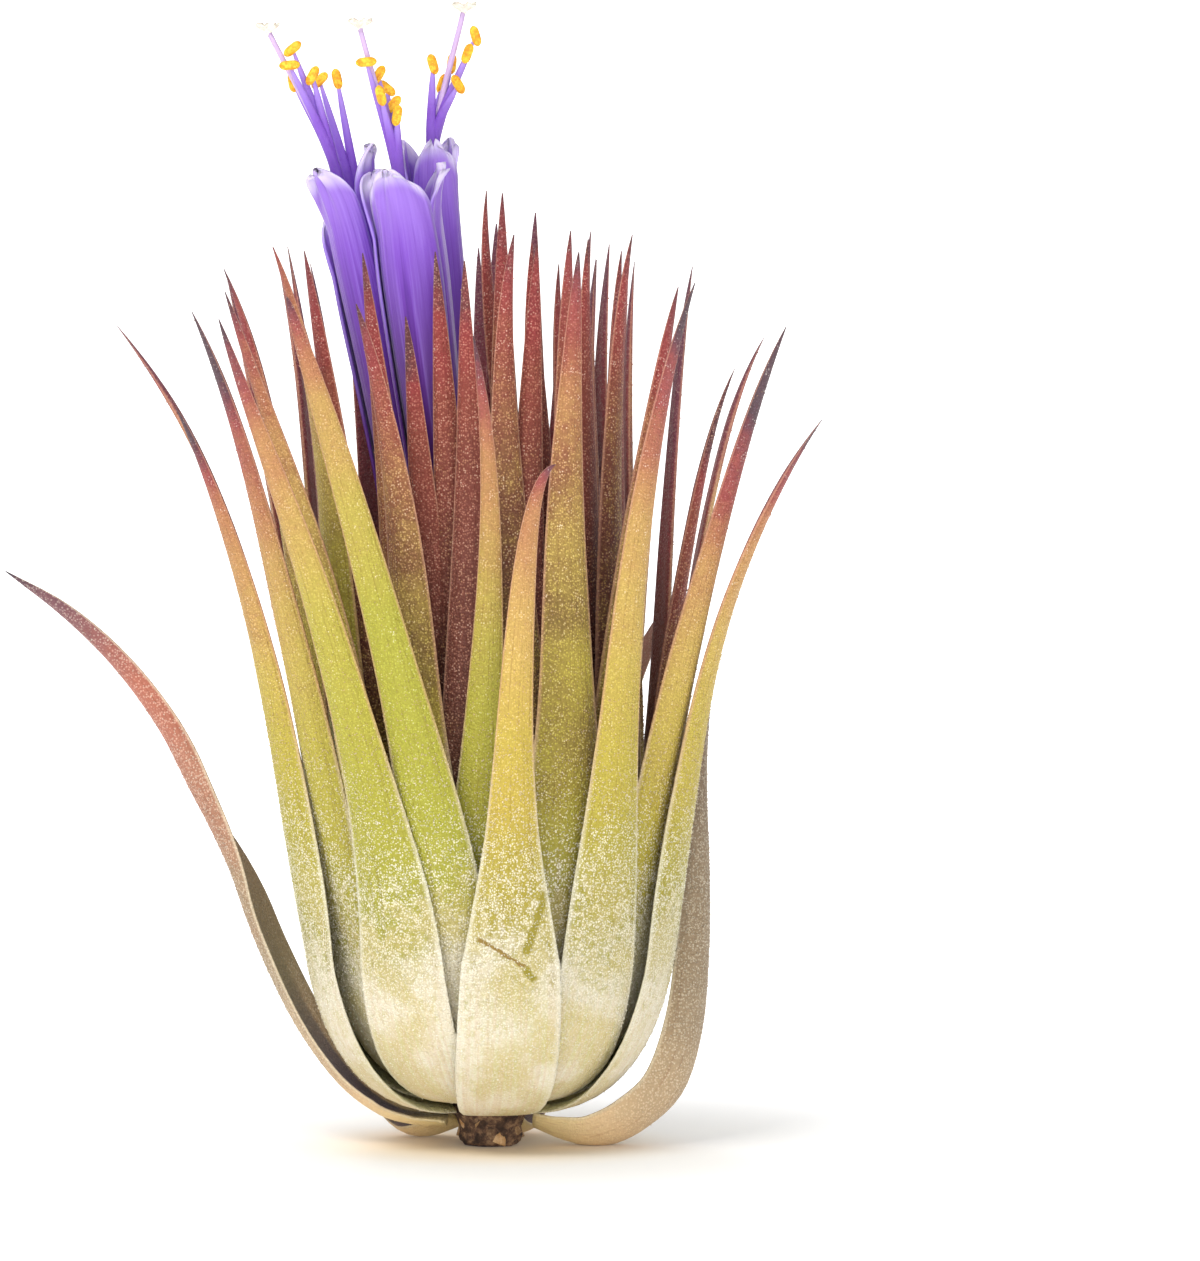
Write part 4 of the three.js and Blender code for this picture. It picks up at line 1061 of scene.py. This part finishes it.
# Stamens and style of each flower: six flat violet filaments, each with a golden anther that is
# grooved along its length, and one pale style that ends in a frilled, three-lobed stigma. They
# grow from one column inside the tube.
STAMENS = {  # each anther's place and tilt, two with a point on the filament, and the stigma
    "front": (
        (((-9.2, -2.6, 81.6), 85), ((-8.3, -1.6, 80.6), 30), ((-8.1, -3, 79.1), -14),
         ((-7.2, -1.4, 78.4), 40), ((-7.7, -0.8, 79.6), -50), ((-6.9, -2.6, 77.6), 10)),
        (-9.7, -2, 84.2),
    ),
    "left": (
        (((-14.8, 1.2, 82.5), 50), ((-15, 0.2, 81.3), 86), ((-14.8, 2, 80), -10),
         ((-13.3, 0.9, 80.5), 28), ((-12.8, 2.6, 80.1), 45, (-10.4, 2.8, 71.6)),
         ((-11.5, 3, 80.2), -12, (-10, 2.9, 71.4))),
        (-16.6, 1.2, 83.8),
    ),
    "right": (
        (((-4.3, 3.4, 81.3), -16), ((-1.7, 3.4, 82.1), 20), ((-1.1, 4.2, 83.4), -16),
         ((-2.9, 4.6, 81.3), 5), ((-3.6, 4.8, 79.8), 20), ((-2.4, 2.9, 79.8), -30)),
        (-2, 3.9, 85.3),
    ),
}
COLUMN_SHARES = (0.012, 0.2, 0.4, 0.56)
COLUMN_RADII = ((0, 0.5), (0.5, 0.55), (1, 0.6))
FILAMENT_RADII = ((0, 0.3), (0.5, 0.44), (0.72, 0.4), (0.92, 0.24), (1, 0.1))
FILAMENT_FLAT = 0.5
STYLE_RADII = ((0, 0.28), (0.7, 0.24), (1, 0.2))
SPREAD_IN_TUBE = (0.3, 0.36)
ROD_STEPS = 30
ANTHER_WIDE = 0.36
ANTHER_FLAT = 0.8
ANTHER_HALF = 0.8
STIGMA_RINGS = (  # radius, height, how frilled
    (0.14, -0.3, 0), (0.2, -0.1, 0), (0.42, 0.1, 0.5), (0.66, 0.3, 0.8), (0.78, 0.5, 1),
    (0.74, 0.58, 1), (0.56, 0.42, 1), (0.34, 0.24, 0.6), (0.12, 0.12, 0),
)
THREAD_PART = 0
ANTHER_PART = 1
STYLE_PART = 1.7
STIGMA_PART = 2.5


def rod(name, points, radii, flat, part):
    """A tapering rod along a smooth line through a few points."""
    turns = once_round(10)
    last = len(points) - 1
    rings = []
    for k in np.linspace(0, last, ROD_STEPS):
        at, up = along_points(points, k, 0.05)
        x = unit(RIGHT - up * RIGHT.dot(up))
        y = np.cross(up, x)
        r = np.interp(k / last, *zip(*radii))
        rings.append(at + np.outer(r * np.cos(turns), x) + np.outer(r * flat * np.sin(turns), y))
    return rolled(name, rings, along=np.linspace(0, 1, ROD_STEPS)[:, None], part=part)


def out_of_tube(flower, end, over=None):
    """The line of a filament or style, up inside the tube and past its rim to its end."""
    half_way, below_rim, at_rim = (flower_axis(*flower[:3], t)[0] for t in (0.5, 0.78, 1))
    out = (np.array(end) - at_rim) * (1, 1, 0)
    far = np.linalg.norm(out)
    out = out / far * np.clip(far, *SPREAD_IN_TUBE)
    return [half_way, below_rim + out * 0.8, over or at_rim + out, end]


bpy.ops.mesh.primitive_uv_sphere_add(segments=20, ring_count=12, radius=1)
anther_shape = bpy.context.object
anther_shape.name = "anther_shape"
for vertex in anther_shape.data.vertices:
    x, y, z = vertex.co
    groove = math.exp(-((abs(math.atan2(y, x)) - math.pi / 2) / 0.35) ** 2)
    bulge = (1 - 0.3 * groove) * (1 - 0.12 * z * z)
    full = min(1, 1.25 * math.sqrt(max(0, 1 - z**2)) + 0.01)
    far = math.hypot(x, y) + 1e-9
    scale = full * bulge / far * (ANTHER_WIDE * MM) if far > 1e-6 else 0
    vertex.co = (x * scale, y * (scale * ANTHER_FLAT), z * (ANTHER_HALF * MM))
drop_uvs(anther_shape)
mark_points(anther_shape, "part", np.full(len(anther_shape.data.vertices), ANTHER_PART))
bpy.ops.object.shade_smooth()


def anther(at, tilt):
    """A copy of the modelled anther at the end of its filament."""
    bpy.ops.object.select_all(action="DESELECT")
    copy = anther_shape.copy()
    copy.data = anther_shape.data.copy()
    bpy.context.collection.objects.link(copy)
    bpy.context.view_layer.objects.active = copy
    copy.select_set(True)
    copy.rotation_euler = (0, math.radians(tilt), 0)
    copy.location = tuple(c * MM for c in at)
    bpy.ops.object.transform_apply(location=True, rotation=True, scale=True)
    return copy


def stigma(name, at, seed):
    """A small cup of three frilled lobes."""
    turns = once_round(48)
    phase = np.random.default_rng(seed).uniform(*ANY_PHASE, 2)
    lobes = 1 + 0.28 * np.cos(3 * turns + phase[0])
    frill = 1 + 0.12 * np.cos(15 * turns + phase[1])
    rings = []
    for r, z, ruffle in STIGMA_RINGS:
        radius = r * (1 + ruffle * (lobes * frill - 1))
        height = z + 0.1 * ruffle * np.cos(6 * turns + phase[1])
        rings.append(upright_ring(turns, radius, at[2] + height, at))
    return rolled(name, rings, part=STIGMA_PART)


inner = Finish("stamens_and_style", Roughness=0.5, Subsurface_Weight=0.05,
               Subsurface_Radius=(0.0006, 0.0003, 0.0002))
part, along = inner.read("part"), inner.read("along")
thread = inner.ramp(along, (0, (150, 130, 190)), (0.45, (96, 52, 156)), (0.8, (130, 80, 196)),
                    (1, (176, 146, 232)))
pollen, _ = inner.cells(7.0)
gold = inner.ramp(inner.plus(inner.noise(1.8, 3), pollen, 0.3),
                  (0.45, (226, 146, 8)), (0.62, (244, 176, 14)), (0.8, (252, 206, 50)))
cream = inner.ramp(inner.noise(2.5, 3), (0.4, (226, 214, 200)), (0.6, (250, 246, 226)))
colour = inner.mix(inner.ease(part, 0.4, 0.6), thread, gold)
colour = inner.mix(inner.ease(part, 1.3, 1.5), colour, paint(206, 178, 222))
colour = inner.mix(inner.ease(part, 2.0, 2.2), colour, cream)
inner.put("Base Color", colour)
inner.put("Normal", inner.bump(inner.plus(inner.noise(6.0, 2), pollen, 0.4), 0.06, 0.8))
for name, (anthers, stigma_place) in STAMENS.items():
    flower = FLOWERS[name]
    column = [flower_axis(*flower[:3], t)[0] for t in COLUMN_SHARES]
    parts = [rod(f"column_{name}", column, COLUMN_RADII, 1, THREAD_PART)]
    for i, (at, tilt, *over) in enumerate(anthers):
        parts.append(rod(f"filament_{name}_{i}", out_of_tube(flower, at, *over), FILAMENT_RADII,
                         FILAMENT_FLAT, THREAD_PART))
        parts.append(anther(at, tilt))
    parts.append(rod(f"style_{name}", out_of_tube(flower, stigma_place), STYLE_RADII, 1,
                     STYLE_PART))
    parts.append(stigma(f"stigma_{name}", stigma_place, 20 + flower[-1]))
    finish_piece(join(f"flower_parts_{name}", parts), inner, f"stamens_and_style_{name}")
bpy.data.objects.remove(anther_shape)
